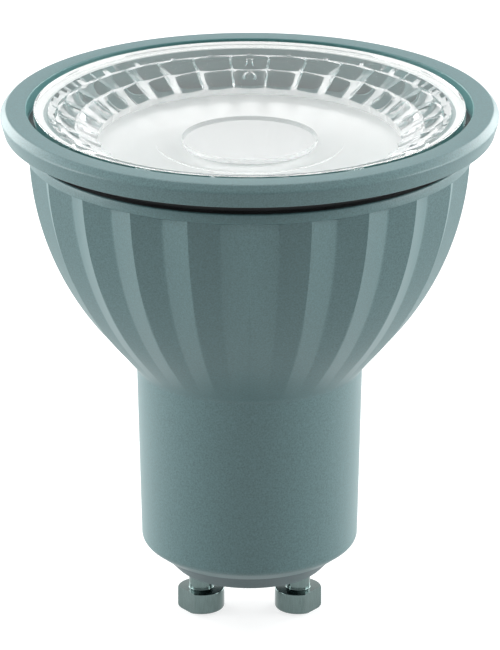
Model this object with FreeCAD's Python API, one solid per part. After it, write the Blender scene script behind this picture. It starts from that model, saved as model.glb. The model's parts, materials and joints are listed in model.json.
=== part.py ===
# Spotlight lamp with a two-pin twist-lock base, lens up, in millimetres.
# The lamp's axis is Z, the tips of the contact pins stand on Z = 0, and the pins lie along X.

import math
import os

import FreeCAD
import Part

V = FreeCAD.Vector
AXIS = V(0, 0, 1)
ORIGIN = V(0, 0, 0)

# Front face, from which the rim, the opening and the lens take their radii
FACE_RADIUS = 25.0

# Contact pins
PIN_SPACING = 10.0
PIN_HEAD_RADIUS = 2.4
PIN_HEAD_HEIGHT = 2.27
PIN_HEAD_EDGE_RADIUS = 0.35
PIN_HEAD_TOP_CHAMFER = 0.15
PIN_NECK_RADIUS = 1.25
PIN_NECK_LENGTH = 3.06
PIN_FLAT_DEPTH = 0.48
PIN_FLAT_BEARING = 53.0
PIN_RIVET_RADIUS = 1.6
PIN_RIVET_HEIGHT = 0.5
PIN_TAIL_RADIUS = 0.85
PIN_TAIL_LENGTH = 1.8

# Insulating end cap
CAP_HEIGHT = 1.77
CAP_TAPER = 1.5
CAP_SPIGOT_STEP = 0.7
CAP_SPIGOT_HEIGHT = 2.4
CAP_EDGE_ROUNDING = 0.15

# Housing: base part
BASE_LENGTH = 19.95
BASE_SHOULDER_RADIUS = 11.05
BASE_CONE_WIDTH = 1.65
BASE_CONE_HEIGHT = 1.45
BASE_SHOULDER_FILLET = 1.7
BASE_DRAFT = 0.42
BASE_WALL = 1.5
CAP_RECESS_CLEARANCE = 0.05
CAP_LIP_THICKNESS = 1.9

# Housing: fluted bowl
BOWL_HEIGHT = 22.75
BOWL_CONE_ANGLE = 41.1
BOWL_TOP_ANGLE = 3.66
BOWL_JUNCTION_BLEND = 0.9
BLEND_RISE_SHARE = 0.6
BLEND_MIDDLE_OUT_SHARE = 0.09
BLEND_MIDDLE_DROP_SHARE = 0.15
BLEND_TUCK = 0.05
FLUTE_COUNT = 23
FLUTE_DEPTH = 0.9
FLUTE_SECTIONS = 8
FLUTE_FOOT_OVERLAP = 0.4
RIM_SETBACK = 2.58
RIM_PROUD = 0.05
RIM_HEIGHT = 0.95
RIM_STEP_HEIGHT = 0.5
RIM_WALL = 1.0
RIM_STEP_TUCK = 0.1
MOUTH_SLOPE_DROP = 1.0
BOWL_FLOOR_WALL = 1.1

# Bezel ring
SHADOW_GAP = 1.45
BEZEL_SIDE_HEIGHT = 2.3
BEZEL_SIDE_TAPER = 0.44
BEZEL_EDGE_RADIUS = 0.85
BEZEL_FACE_WIDTH = 2.65
BEZEL_OPENING_ROUNDING = 0.12
BEZEL_SHELF_THICKNESS = 0.55
BEZEL_SKIRT_THICKNESS = 1.05
BEZEL_SKIRT_DEPTH = 3.3
SKIRT_CLEARANCE = 0.05
SNAP_BEAD_HEIGHT = 0.3
SNAP_BEAD_DROP = 1.0

# Seal ring under the lens
SEAL_THICKNESS = 0.3
SEAL_WIDTH = 0.95
SEAL_SETBACK = 0.05

# Optic
LENS_RECESS = 0.08
LENS_GROOVE = 0.7
LENS_NECK_CLEARANCE = 0.12
LENS_DEPTH = 13.82
FACET_COUNT = 30
FACET_TOP_DEPTH = 4.0
FACET_TOP_INSET = 0.6
FACET_MIDDLE_DEPTH = 7.8
FACET_MIDDLE_INSET = 1.75
FACET_BOTTOM_DEPTH = 12.2
FACET_BOTTOM_INSET = 4.05
FACET_BULGE = 0.2
FACET_ROUNDNESS = 4.3
FACET_VALLEY_DEPTH = 0.52
LENS_FOOT_TAPER = 1.85
WELL_CLEARANCE = 0.2
WELL_HEADROOM = 0.15
FOOT_STEP_WIDTH = 2.6
FOOT_STEP_HEIGHT = 0.2
KEY_RIB_RADIUS = 0.4
KEY_RIB_TOP_RISE = 0.8
KEY_BOSS_RADIUS = 0.75
KEY_BOSS_ROOT = 0.9
KEY_BOSS_PROUD = 0.22

# Light engine
BOARD_EDGE_GAP = 0.60
BOARD_THICKNESS = 1.0
PAD_INSET = 1.1
PAD_THICKNESS = 0.2
SINK_FLOOR_THICKNESS = 1.6
SINK_WALL = 1.2
SINK_SKIRT_RISE = 2.35
SINK_CLEARANCE = 0.05
EMITTER_SIDE = 7.0
EMITTER_THICKNESS = 0.6
DAM_RADIUS = 3.1
DAM_WIDTH = 0.4
DAM_HEIGHT = 0.4
GEL_HEIGHT = 0.3
DIFFUSER_RADIUS = 6.6
DIFFUSER_WALL = 0.4
DIFFUSER_SIDE_HEIGHT = 1.5
DIFFUSER_RISE = 1.75
LEAD_HOLE_X = 1.9
LEAD_HOLE_Y = 4.9
LEAD_HOLE_CLEARANCE = 0.3

# Driver board, upright in the base
DRIVER_SIDE_GAP = 1.55
DRIVER_THICKNESS = 1.2
DRIVER_TOP_GAP = 2.6
DRIVER_FRONT_Y = 1.8
CRADLE_X = 7.0
CRADLE_WIDTH = 1.2
CRADLE_DEPTH = 3.0
CRADLE_HEIGHT = 4.9
CRADLE_GRIP = 1.8
CRADLE_CLEARANCE = 0.05

# Parts on the driver board: sizes, and places from its lower edge
BIG_CAPACITOR_RADIUS = 4.0
BIG_CAPACITOR_LENGTH = 11.5
BIG_CAPACITOR_PLACE = (-3.9, 7.4)
SMALL_CAPACITOR_RADIUS = 2.0
SMALL_CAPACITOR_LENGTH = 5.2
SMALL_CAPACITOR_PLACE = (5.0, 15.8)
CAPACITOR_CRIMP_DROP = 1.2
CAPACITOR_CRIMP_DEPTH = 0.25
CAPACITOR_EDGE_RADIUS = 0.4
CHOKE_RADIUS = 3.2
CHOKE_DRUM_RADIUS = 1.6
CHOKE_LENGTH = 6.8
CHOKE_FLANGE = 1.0
CHOKE_WINDING_RADIUS = 2.8
CHOKE_PLACE = (4.2, 7.6)
FILM_CAPACITOR_SIZE = (7.2, 3.2, 5.6)
FILM_CAPACITOR_ROUNDING = 0.5
FILM_CAPACITOR_PLACE = (0.0, 0.5)
RESISTOR_RADIUS = 1.1
RESISTOR_WAIST = 0.15
RESISTOR_LENGTH = 6.0
RESISTOR_PLACE = (0.0, 3.6)
BRIDGE_SIZE = (4.8, 2.2, 4.0)
BRIDGE_PLACE = (-4.2, 6.2)
CHIP_SIZE = (4.0, 1.5, 5.0)
CHIP_PLACE = (2.6, 6.2)
DIODE_SIZE = (2.6, 1.9, 4.3)
DIODE_PLACE = (-5.0, 12.6)
CHIP_RESISTOR_SIZE = (1.3, 0.5, 2.0)
CHIP_RESISTOR_COUNT = 4
CHIP_RESISTOR_PITCH = 2.2
CHIP_RESISTOR_PLACE = (-1.2, 13.0)
LEG_THICKNESS = 0.3
LEG_WIDTH = 0.5
LEG_REACH = 0.8
WIRE_LEG_RADIUS = 0.3
WIRE_LEG_DROP = 0.9
MAINS_LEAD_RADIUS = 0.55
MAINS_LEAD_ENTRY = 1.9
LED_LEAD_RADIUS = 0.5
LED_LEAD_ENTRY = 18.3
LED_LEAD_END = 0.5
LEAD_BEND_RADIUS = 1.1

# Radii worked out from the sizes above
CAP_TOP_RADIUS = BASE_SHOULDER_RADIUS - BASE_CONE_WIDTH
CAP_BOTTOM_RADIUS = CAP_TOP_RADIUS - CAP_TAPER
CAP_SPIGOT_RADIUS = CAP_TOP_RADIUS - CAP_SPIGOT_STEP
BASE_JUNCTION_RADIUS = BASE_SHOULDER_RADIUS + BASE_DRAFT
BASE_BORE_RADIUS = BASE_SHOULDER_RADIUS - BASE_WALL
RIM_RADIUS = FACE_RADIUS - RIM_SETBACK
FLUTE_TOP_RADIUS = RIM_RADIUS - RIM_PROUD
BOWL_INSET = FLUTE_DEPTH + BOWL_FLOOR_WALL
BEZEL_BOTTOM_RADIUS = FACE_RADIUS - BEZEL_SIDE_TAPER
BEZEL_OPENING_RADIUS = FACE_RADIUS - BEZEL_FACE_WIDTH
SKIRT_OUTER_RADIUS = RIM_RADIUS - RIM_WALL - SKIRT_CLEARANCE
SKIRT_INNER_RADIUS = SKIRT_OUTER_RADIUS - BEZEL_SKIRT_THICKNESS
LENS_RADIUS = BEZEL_OPENING_RADIUS - LENS_GROOVE
LENS_NECK_RADIUS = SKIRT_INNER_RADIUS - LENS_NECK_CLEARANCE
FACET_TOP_RADIUS = LENS_NECK_RADIUS - FACET_TOP_INSET
FACET_MIDDLE_RADIUS = LENS_NECK_RADIUS - FACET_MIDDLE_INSET
FACET_BOTTOM_RADIUS = LENS_NECK_RADIUS - FACET_BOTTOM_INSET
LENS_FOOT_RADIUS = FACET_BOTTOM_RADIUS - LENS_FOOT_TAPER
WELL_RADIUS = DIFFUSER_RADIUS + WELL_CLEARANCE
FOOT_STEP_RADIUS = WELL_RADIUS + FOOT_STEP_WIDTH
SEAL_OUTER_RADIUS = LENS_RADIUS - SEAL_SETBACK
SEAL_INNER_RADIUS = SEAL_OUTER_RADIUS - SEAL_WIDTH

# Heights worked out from the sizes above, from the pin tips up
CAP_BOTTOM_Z = PIN_HEAD_HEIGHT + PIN_NECK_LENGTH
CAP_TOP_Z = CAP_BOTTOM_Z + CAP_HEIGHT
CAP_INNER_Z = CAP_TOP_Z + CAP_SPIGOT_HEIGHT
JUNCTION_Z = CAP_TOP_Z + BASE_LENGTH
RIM_BOTTOM_Z = JUNCTION_Z + BOWL_HEIGHT
RIM_TOP_Z = RIM_BOTTOM_Z + RIM_HEIGHT
BEZEL_BOTTOM_Z = RIM_TOP_Z + SHADOW_GAP
LAMP_HEIGHT = BEZEL_BOTTOM_Z + BEZEL_SIDE_HEIGHT
SHELF_Z = BEZEL_BOTTOM_Z + BEZEL_SHELF_THICKNESS
LENS_TOP_Z = LAMP_HEIGHT - LENS_RECESS
LENS_FLANGE_Z = SHELF_Z + SEAL_THICKNESS
LENS_BOTTOM_Z = LENS_TOP_Z - LENS_DEPTH
BOARD_TOP_Z = LENS_BOTTOM_Z
BOARD_BOTTOM_Z = BOARD_TOP_Z - BOARD_THICKNESS
SINK_TOP_Z = BOARD_BOTTOM_Z - PAD_THICKNESS
SINK_FLOOR_Z = SINK_TOP_Z - SINK_FLOOR_THICKNESS
SINK_SKIRT_BOTTOM_Z = JUNCTION_Z + SINK_SKIRT_RISE
SKIRT_BOTTOM_Z = BEZEL_BOTTOM_Z - BEZEL_SKIRT_DEPTH
PIN_X = PIN_SPACING / 2
PIN_TAIL_Z = CAP_INNER_Z + PIN_RIVET_HEIGHT + PIN_TAIL_LENGTH
DRIVER_BOTTOM_Z = CAP_INNER_Z + CRADLE_HEIGHT
DRIVER_BACK_Y = DRIVER_FRONT_Y + DRIVER_THICKNESS
DRIVER_WIDTH = 2 * (BASE_BORE_RADIUS - DRIVER_SIDE_GAP)
DRIVER_HEIGHT = SINK_FLOOR_Z - DRIVER_TOP_GAP - DRIVER_BOTTOM_Z


def arc(middle, end):
    """An outline step that runs through middle to end along a circle."""
    return ("arc", middle, end)


def outline_wire(start, steps):
    """A closed wire in the XZ plane from (radius, height) points and arcs."""
    edges = []
    here = start
    for step in list(steps) + [start]:
        if step[0] == "arc":
            middle, end = step[1], step[2]
            curve = Part.Arc(V(here[0], 0, here[1]), V(middle[0], 0, middle[1]), V(end[0], 0, end[1]))
            edges.append(curve.toShape())
            here = end
        elif math.dist(here, step) > 1e-6:
            edges.append(Part.LineSegment(V(here[0], 0, here[1]), V(step[0], 0, step[1])).toShape())
            here = step
    return Part.Wire(edges)


def turned(start, *steps):
    """The solid that an outline makes when it is turned about the lamp's axis."""
    return Part.Face(outline_wire(start, steps)).revolve(ORIGIN, AXIS, 360)


def cylinder(radius, height, x=0.0, y=0.0, z=0.0):
    return Part.makeCylinder(radius, height, V(x, y, z))


def block(size, x, y, z):
    """A box centred on x and y, standing on z."""
    return Part.makeBox(size[0], size[1], size[2], V(x - size[0] / 2, y - size[1] / 2, z))


def bulge_point(start, end, rise):
    """The point beside the middle of a run, rise away from it on its right-hand side."""
    length = math.dist(start, end)
    across = ((end[1] - start[1]) / length, -(end[0] - start[0]) / length)
    return ((start[0] + end[0]) / 2 + across[0] * rise, (start[1] + end[1]) / 2 + across[1] * rise)


def bowl_curve(inset=0.0):
    """The bowl's ridge line, or a line inset from it: a cone that runs over into an arc.

    Gives the arc's centre and radius, and the point where the cone touches it."""
    foot_angle = math.radians(BOWL_CONE_ANGLE)
    top_angle = math.radians(BOWL_TOP_ANGLE)
    width = FLUTE_TOP_RADIUS - BASE_JUNCTION_RADIUS
    across = math.cos(top_angle) - math.cos(foot_angle)
    upward = math.sin(foot_angle) - math.sin(top_angle)
    turn = across * math.cos(foot_angle) - upward * math.sin(foot_angle)
    radius = (width * math.cos(foot_angle) - BOWL_HEIGHT * math.sin(foot_angle)) / turn
    run = (BOWL_HEIGHT * across - width * upward) / turn
    touch = (BASE_JUNCTION_RADIUS + math.sin(foot_angle) * run, JUNCTION_Z + math.cos(foot_angle) * run)
    centre = (touch[0] - radius * math.cos(foot_angle), touch[1] + radius * math.sin(foot_angle))
    touch = (touch[0] - inset * math.cos(foot_angle), touch[1] + inset * math.sin(foot_angle))
    return centre, radius - inset, touch


def bowl_radius(z, inset=0.0):
    """Radius of the bowl's ridge line, or of a line inset from it, at a height."""
    centre, radius, touch = bowl_curve(inset)
    if z >= touch[1]:
        return centre[0] + math.sqrt(radius**2 - (z - centre[1]) ** 2)
    return touch[0] - (touch[1] - z) * math.tan(math.radians(BOWL_CONE_ANGLE))


def bowl_height(radius_wanted, inset):
    """Height at which the cone part of an inset bowl line has a radius."""
    touch = bowl_curve(inset)[2]
    return touch[1] - (touch[0] - radius_wanted) / math.tan(math.radians(BOWL_CONE_ANGLE))


def flute_section(z):
    """Star-shaped wire of ridges and valleys at a height; the flutes die out at the junction."""
    share = (z - JUNCTION_Z) / (RIM_BOTTOM_Z - JUNCTION_Z)
    ridge = bowl_radius(z)
    valley = ridge - FLUTE_DEPTH * math.sin(math.pi / 2 * max(share, 0.0))
    points = []
    for index in range(2 * FLUTE_COUNT):
        angle = -math.pi / 2 + math.pi * index / FLUTE_COUNT
        radius = ridge if index % 2 == 0 else valley
        points.append(V(radius * math.cos(angle), radius * math.sin(angle), z))
    return Part.makePolygon(points + points[:1])


def housing():
    """Rim, fluted bowl and base in one moulding, open at the top for the bezel's skirt."""
    low = JUNCTION_Z - FLUTE_FOOT_OVERLAP
    step = (RIM_BOTTOM_Z - low) / (FLUTE_SECTIONS - 1)
    fluted = Part.makeLoft([flute_section(low + step * k) for k in range(FLUTE_SECTIONS)], True, False)

    valley_top = FLUTE_TOP_RADIUS - FLUTE_DEPTH
    rim = turned(
        (0, RIM_BOTTOM_Z - RIM_STEP_HEIGHT),
        (valley_top - RIM_STEP_TUCK, RIM_BOTTOM_Z - RIM_STEP_HEIGHT),
        (RIM_RADIUS, RIM_BOTTOM_Z),
        (RIM_RADIUS, RIM_TOP_Z),
        (0, RIM_TOP_Z),
    )

    cone_top = CAP_TOP_Z + BASE_CONE_HEIGHT
    blend = BOWL_JUNCTION_BLEND
    blend_low = (BASE_JUNCTION_RADIUS, JUNCTION_Z - blend)
    middle_radius = BASE_JUNCTION_RADIUS + blend * BLEND_MIDDLE_OUT_SHARE
    blend_middle = (middle_radius, JUNCTION_Z - blend * BLEND_MIDDLE_DROP_SHARE)
    high_z = JUNCTION_Z + blend * BLEND_RISE_SHARE
    base = turned(
        (0, CAP_TOP_Z),
        (CAP_TOP_RADIUS, CAP_TOP_Z),
        (BASE_SHOULDER_RADIUS, cone_top),
        blend_low,
        arc(blend_middle, (bowl_radius(high_z) - BLEND_TUCK, high_z)),
        (0, JUNCTION_Z + blend),
    )
    base = base.makeFillet(BASE_SHOULDER_FILLET, circles_at(base, BASE_SHOULDER_RADIUS, cone_top))

    body = fluted.fuse([rim, base])
    return body.cut(housing_hollow()).removeSplitter()


def circles_at(shape, radius, z):
    """The round edges of a shape that have a radius at a height."""
    found = []
    for edge in shape.Edges:
        box = edge.BoundBox
        if abs(box.ZMin - z) < 1e-4 and abs(box.ZMax - z) < 1e-4 and abs(box.XMax - radius) < 1e-4:
            found.append(edge)
    return found


def housing_hollow():
    """Inside of the housing: bowl, bore of the base, and the recess of the end cap."""
    inset = BOWL_INSET
    touch = bowl_curve(inset)[2]
    mouth_radius = SKIRT_OUTER_RADIUS + SKIRT_CLEARANCE
    mouth_bottom = SKIRT_BOTTOM_Z - SKIRT_CLEARANCE
    slope_foot = mouth_bottom - MOUTH_SLOPE_DROP
    middle_z = (slope_foot + touch[1]) / 2
    lip_z = CAP_TOP_Z + CAP_LIP_THICKNESS
    recess_radius = CAP_SPIGOT_RADIUS + CAP_RECESS_CLEARANCE
    bead_z = SKIRT_BOTTOM_Z + SNAP_BEAD_DROP
    bead = SNAP_BEAD_HEIGHT + SKIRT_CLEARANCE
    return turned(
        (0, CAP_TOP_Z),
        (recess_radius, CAP_TOP_Z),
        (recess_radius, lip_z),
        (BASE_BORE_RADIUS, lip_z),
        (BASE_BORE_RADIUS, bowl_height(BASE_BORE_RADIUS, inset)),
        touch,
        arc((bowl_radius(middle_z, inset), middle_z), (bowl_radius(slope_foot, inset), slope_foot)),
        (mouth_radius, mouth_bottom),
        (mouth_radius, bead_z - bead),
        (mouth_radius + bead, bead_z),
        (mouth_radius, bead_z + bead),
        (mouth_radius, RIM_TOP_Z),
        (0, RIM_TOP_Z),
    )


def bezel_ring():
    """Front ring: rounded edge, opening round the lens, shelf, and a skirt with its snap bead."""
    corner = LAMP_HEIGHT - BEZEL_EDGE_RADIUS
    flat = FACE_RADIUS - BEZEL_EDGE_RADIUS
    slant = BEZEL_EDGE_RADIUS * math.sin(math.radians(45))
    rounding = BEZEL_OPENING_ROUNDING
    bead_z = SKIRT_BOTTOM_Z + SNAP_BEAD_DROP
    return turned(
        (SKIRT_OUTER_RADIUS, BEZEL_BOTTOM_Z),
        (BEZEL_BOTTOM_RADIUS, BEZEL_BOTTOM_Z),
        (FACE_RADIUS, corner),
        arc((flat + slant, corner + slant), (flat, LAMP_HEIGHT)),
        (BEZEL_OPENING_RADIUS + rounding, LAMP_HEIGHT),
        (BEZEL_OPENING_RADIUS, LAMP_HEIGHT - rounding),
        (BEZEL_OPENING_RADIUS, SHELF_Z),
        (SKIRT_INNER_RADIUS, SHELF_Z),
        (SKIRT_INNER_RADIUS, SKIRT_BOTTOM_Z),
        (SKIRT_OUTER_RADIUS, SKIRT_BOTTOM_Z),
        (SKIRT_OUTER_RADIUS, bead_z - SNAP_BEAD_HEIGHT),
        (SKIRT_OUTER_RADIUS + SNAP_BEAD_HEIGHT, bead_z),
        (SKIRT_OUTER_RADIUS, bead_z + SNAP_BEAD_HEIGHT),
    )


def lens_seal():
    return turned(
        (SEAL_INNER_RADIUS, SHELF_Z),
        (SEAL_OUTER_RADIUS, SHELF_Z),
        (SEAL_OUTER_RADIUS, LENS_FLANGE_Z),
        (SEAL_INNER_RADIUS, LENS_FLANGE_Z),
    )


def facet_points():
    """The crest line of a column of facets: its top, the notch between its rows, and its bottom."""
    return [
        (FACET_TOP_RADIUS, LENS_TOP_Z - FACET_TOP_DEPTH),
        (FACET_MIDDLE_RADIUS, LENS_TOP_Z - FACET_MIDDLE_DEPTH),
        (FACET_BOTTOM_RADIUS, LENS_TOP_Z - FACET_BOTTOM_DEPTH),
    ]


def facet_column():
    """Two pillow facets one above the other, as a barrel turned about a leaning line."""
    top, middle, bottom = facet_points()
    length = math.dist(top, bottom)
    lean = ((bottom[0] - top[0]) / length, (bottom[1] - top[1]) / length)
    inward = (lean[1], -lean[0])
    axis_top = (top[0] + inward[0] * FACET_ROUNDNESS, top[1] + inward[1] * FACET_ROUNDNESS)
    axis_bottom = (bottom[0] + inward[0] * FACET_ROUNDNESS, bottom[1] + inward[1] * FACET_ROUNDNESS)
    upper_bulge = bulge_point(middle, top, FACET_BULGE)
    lower_bulge = bulge_point(bottom, middle, FACET_BULGE)
    wire = outline_wire(axis_top, [top, arc(upper_bulge, middle), arc(lower_bulge, bottom), axis_bottom])
    return Part.Face(wire).revolve(V(axis_top[0], 0, axis_top[1]), V(lean[0], 0, lean[1]), 360)


def key_rib():
    """Small upright rib and boss that turn the lens the right way round in its seat."""
    top, middle, bottom = facet_points()
    start = V(top[0], 0, top[1] + KEY_RIB_TOP_RISE)
    end = V(middle[0], 0, middle[1])
    rib = Part.makeCylinder(KEY_RIB_RADIUS, (end - start).Length, start, end - start)
    across = V(top[0] - bottom[0], 0, top[1] - bottom[1]).normalize()
    outward = V(across.z, 0, -across.x)
    boss_x, boss_z = bulge_point(bottom, middle, FACET_BULGE)
    boss_start = V(boss_x, 0, boss_z) - outward * KEY_BOSS_ROOT
    boss = Part.makeCylinder(KEY_BOSS_RADIUS, KEY_BOSS_ROOT + KEY_BOSS_PROUD, boss_start, outward)
    rib = rib.fuse(boss)
    rib.rotate(ORIGIN, AXIS, 90)
    return rib


def optic_lens():
    """Clear optic: plate, two rows of pillow facets round a tapering body, foot, and a shallow well
    over the light source with a step round it."""
    top, middle, bottom = facet_points()
    core = turned(
        (0, LENS_BOTTOM_Z),
        (LENS_FOOT_RADIUS, LENS_BOTTOM_Z),
        bottom,
        (middle[0] - FACET_VALLEY_DEPTH, middle[1]),
        (top[0] - FACET_VALLEY_DEPTH, top[1]),
        top,
        (LENS_NECK_RADIUS, LENS_FLANGE_Z),
        (LENS_RADIUS, LENS_FLANGE_Z),
        (LENS_RADIUS, LENS_TOP_Z),
        (0, LENS_TOP_Z),
    )
    column = facet_column()
    columns = []
    for index in range(FACET_COUNT):
        facet = column.copy()
        facet.rotate(ORIGIN, AXIS, 90 + index * 360 / FACET_COUNT)
        columns.append(facet)
    well_top = BOARD_TOP_Z + DIFFUSER_RISE + WELL_HEADROOM
    step_top = LENS_BOTTOM_Z + FOOT_STEP_HEIGHT
    well = turned(
        (0, LENS_BOTTOM_Z),
        (FOOT_STEP_RADIUS, LENS_BOTTOM_Z),
        (FOOT_STEP_RADIUS, step_top),
        (WELL_RADIUS, step_top),
        (WELL_RADIUS, well_top),
        (0, well_top),
    )
    return core.fuse(columns + [key_rib()]).cut(well).removeSplitter()


def base_end_cap():
    """Plug in the foot of the base: conical rim, spigot, two pin holes, and posts for the board."""
    rounding = CAP_EDGE_ROUNDING
    plug = turned(
        (0, CAP_BOTTOM_Z),
        (CAP_BOTTOM_RADIUS - rounding, CAP_BOTTOM_Z),
        (CAP_BOTTOM_RADIUS, CAP_BOTTOM_Z + rounding),
        (CAP_TOP_RADIUS, CAP_TOP_Z),
        (CAP_SPIGOT_RADIUS, CAP_TOP_Z),
        (CAP_SPIGOT_RADIUS, CAP_INNER_Z),
        (0, CAP_INNER_Z),
    )
    board_y = DRIVER_FRONT_Y + DRIVER_THICKNESS / 2
    slot = (DRIVER_WIDTH, DRIVER_THICKNESS + 2 * CRADLE_CLEARANCE, CRADLE_GRIP)
    posts = []
    for x in (-CRADLE_X, CRADLE_X):
        post = (CRADLE_WIDTH, CRADLE_DEPTH, CRADLE_HEIGHT + CRADLE_GRIP)
        posts.append(block(post, x, board_y, CAP_INNER_Z))
    height = CAP_INNER_Z - CAP_BOTTOM_Z
    cuts = [cylinder(PIN_NECK_RADIUS, height, x, 0, CAP_BOTTOM_Z) for x in (-PIN_X, PIN_X)]
    cuts.append(block(slot, 0, board_y, DRIVER_BOTTOM_Z))
    return plug.fuse(posts).cut(cuts).removeSplitter()


def contact_pin(side):
    """Turned pin: head with one flat, neck, riveted collar on the cap, and the tail of its lead."""
    head, edge, chamfer = PIN_HEAD_RADIUS, PIN_HEAD_EDGE_RADIUS, PIN_HEAD_TOP_CHAMFER
    slant = edge * math.sin(math.radians(45))
    rivet_top = CAP_INNER_Z + PIN_RIVET_HEIGHT
    pin = turned(
        (0, 0),
        (head - edge, 0),
        arc((head - edge + slant, edge - slant), (head, edge)),
        (head, PIN_HEAD_HEIGHT - chamfer),
        (head - chamfer, PIN_HEAD_HEIGHT),
        (PIN_NECK_RADIUS, PIN_HEAD_HEIGHT),
        (PIN_NECK_RADIUS, CAP_INNER_Z),
        (PIN_RIVET_RADIUS, CAP_INNER_Z),
        (PIN_TAIL_RADIUS, rivet_top),
        (PIN_TAIL_RADIUS, rivet_top + PIN_TAIL_LENGTH),
        (0, rivet_top + PIN_TAIL_LENGTH),
    )
    flat = Part.makeBox(head, 2 * head, PIN_HEAD_HEIGHT, V(head - PIN_FLAT_DEPTH, -head, 0))
    flat.rotate(ORIGIN, AXIS, -90 + side * PIN_FLAT_BEARING)
    pin = pin.cut(flat)
    pin.translate(V(side * PIN_X, 0, 0))
    return pin


def lead_holes(extra, bottom, height):
    """Cylinders where the two leads of the light source pass through."""
    radius = LED_LEAD_RADIUS + extra
    return [cylinder(radius, height, x, LEAD_HOLE_Y, bottom) for x in (-LEAD_HOLE_X, LEAD_HOLE_X)]


def board_radius():
    """Radius of the LED board, which fits in the bowl at its own height."""
    return bowl_radius(BOARD_BOTTOM_Z, BOWL_INSET) - BOARD_EDGE_GAP


def led_board():
    board = cylinder(board_radius(), BOARD_THICKNESS, z=BOARD_BOTTOM_Z)
    return board.cut(lead_holes(LEAD_HOLE_CLEARANCE, BOARD_BOTTOM_Z, BOARD_THICKNESS))


def thermal_pad():
    pad = cylinder(board_radius() - PAD_INSET, PAD_THICKNESS, z=SINK_TOP_Z)
    return pad.cut(lead_holes(LEAD_HOLE_CLEARANCE, SINK_TOP_Z, PAD_THICKNESS))


def heat_sink():
    """Pressed cup that wedges into the bowl: a floor under the board and a skirt down the wall."""
    outer = BOWL_INSET + SINK_CLEARANCE
    inner = outer + SINK_WALL
    outer_touch = bowl_curve(outer)[2]
    inner_touch = bowl_curve(inner)[2]
    cup = turned(
        (0, SINK_TOP_Z),
        (0, SINK_FLOOR_Z),
        (bowl_radius(SINK_FLOOR_Z, inner), SINK_FLOOR_Z),
        inner_touch,
        (bowl_radius(SINK_SKIRT_BOTTOM_Z, inner), SINK_SKIRT_BOTTOM_Z),
        (bowl_radius(SINK_SKIRT_BOTTOM_Z, outer), SINK_SKIRT_BOTTOM_Z),
        outer_touch,
        (bowl_radius(SINK_TOP_Z, outer), SINK_TOP_Z),
    )
    return cup.cut(lead_holes(LEAD_HOLE_CLEARANCE, SINK_FLOOR_Z, SINK_FLOOR_THICKNESS))


def emitter_base():
    return block((EMITTER_SIDE, EMITTER_SIDE, EMITTER_THICKNESS), 0, 0, BOARD_TOP_Z)


def emitter_dam():
    bottom = BOARD_TOP_Z + EMITTER_THICKNESS
    ring = cylinder(DAM_RADIUS, DAM_HEIGHT, z=bottom)
    return ring.cut(cylinder(DAM_RADIUS - DAM_WIDTH, DAM_HEIGHT, z=bottom))


def emitter_gel():
    return cylinder(DAM_RADIUS - DAM_WIDTH, GEL_HEIGHT, z=BOARD_TOP_Z + EMITTER_THICKNESS)


def dome_outline(radius, side, rise):
    """Straight side and arched top of a shallow dome that stands on the board."""
    sphere = (radius**2 + (rise - side) ** 2) / (2 * (rise - side))
    half = radius / 2
    half_height = rise - sphere + math.sqrt(sphere**2 - half**2)
    return (radius, BOARD_TOP_Z + side), (half, BOARD_TOP_Z + half_height), (0, BOARD_TOP_Z + rise)


def light_diffuser():
    """Milky cap over the light source: an upright rim with a gently arched top."""
    shoulder, half, top = dome_outline(DIFFUSER_RADIUS, DIFFUSER_SIDE_HEIGHT, DIFFUSER_RISE)
    wall = DIFFUSER_WALL
    hollow = dome_outline(DIFFUSER_RADIUS - wall, DIFFUSER_SIDE_HEIGHT - wall, DIFFUSER_RISE - wall)
    body = turned((0, BOARD_TOP_Z), (DIFFUSER_RADIUS, BOARD_TOP_Z), shoulder, arc(half, top))
    inner_foot = (DIFFUSER_RADIUS - wall, BOARD_TOP_Z)
    inside = turned((0, BOARD_TOP_Z), inner_foot, hollow[0], arc(hollow[1], hollow[2]))
    return body.cut(inside)


def driver_board():
    size = (DRIVER_WIDTH, DRIVER_THICKNESS, DRIVER_HEIGHT)
    return block(size, 0, DRIVER_FRONT_Y + DRIVER_THICKNESS / 2, DRIVER_BOTTOM_Z)


def wire_legs(x, y, z, spread):
    """Two bent wire legs under an upright part, into the front of the board."""
    legs = []
    for side in (-1, 1):
        leg_x = x + side * spread
        legs.append(cylinder(WIRE_LEG_RADIUS, WIRE_LEG_DROP, leg_x, y, z - WIRE_LEG_DROP))
        foot = V(leg_x, y, z - WIRE_LEG_DROP)
        legs.append(Part.makeSphere(WIRE_LEG_RADIUS, foot))
        legs.append(Part.makeCylinder(WIRE_LEG_RADIUS, DRIVER_FRONT_Y - y, foot, V(0, 1, 0)))
    return legs


def can_capacitor(radius, length, place):
    """Electrolytic can, upright against the board: rounded top, crimped neck, two wire legs."""
    edge, crimp = CAPACITOR_EDGE_RADIUS, CAPACITOR_CRIMP_DEPTH
    slant = edge * math.sin(math.radians(45))
    bottom = DRIVER_BOTTOM_Z + place[1]
    crimp_z = bottom + CAPACITOR_CRIMP_DROP
    top = bottom + length
    can = turned(
        (0, bottom),
        (radius, bottom),
        (radius, crimp_z - crimp),
        (radius - crimp, crimp_z),
        (radius, crimp_z + crimp),
        (radius, top - edge),
        arc((radius - edge + slant, top - edge + slant), (radius - edge, top)),
        (0, top),
    )
    y = DRIVER_FRONT_Y - radius
    can.translate(V(place[0], y, 0))
    return can.fuse(wire_legs(place[0], y, bottom, radius / 2)).removeSplitter()


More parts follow.
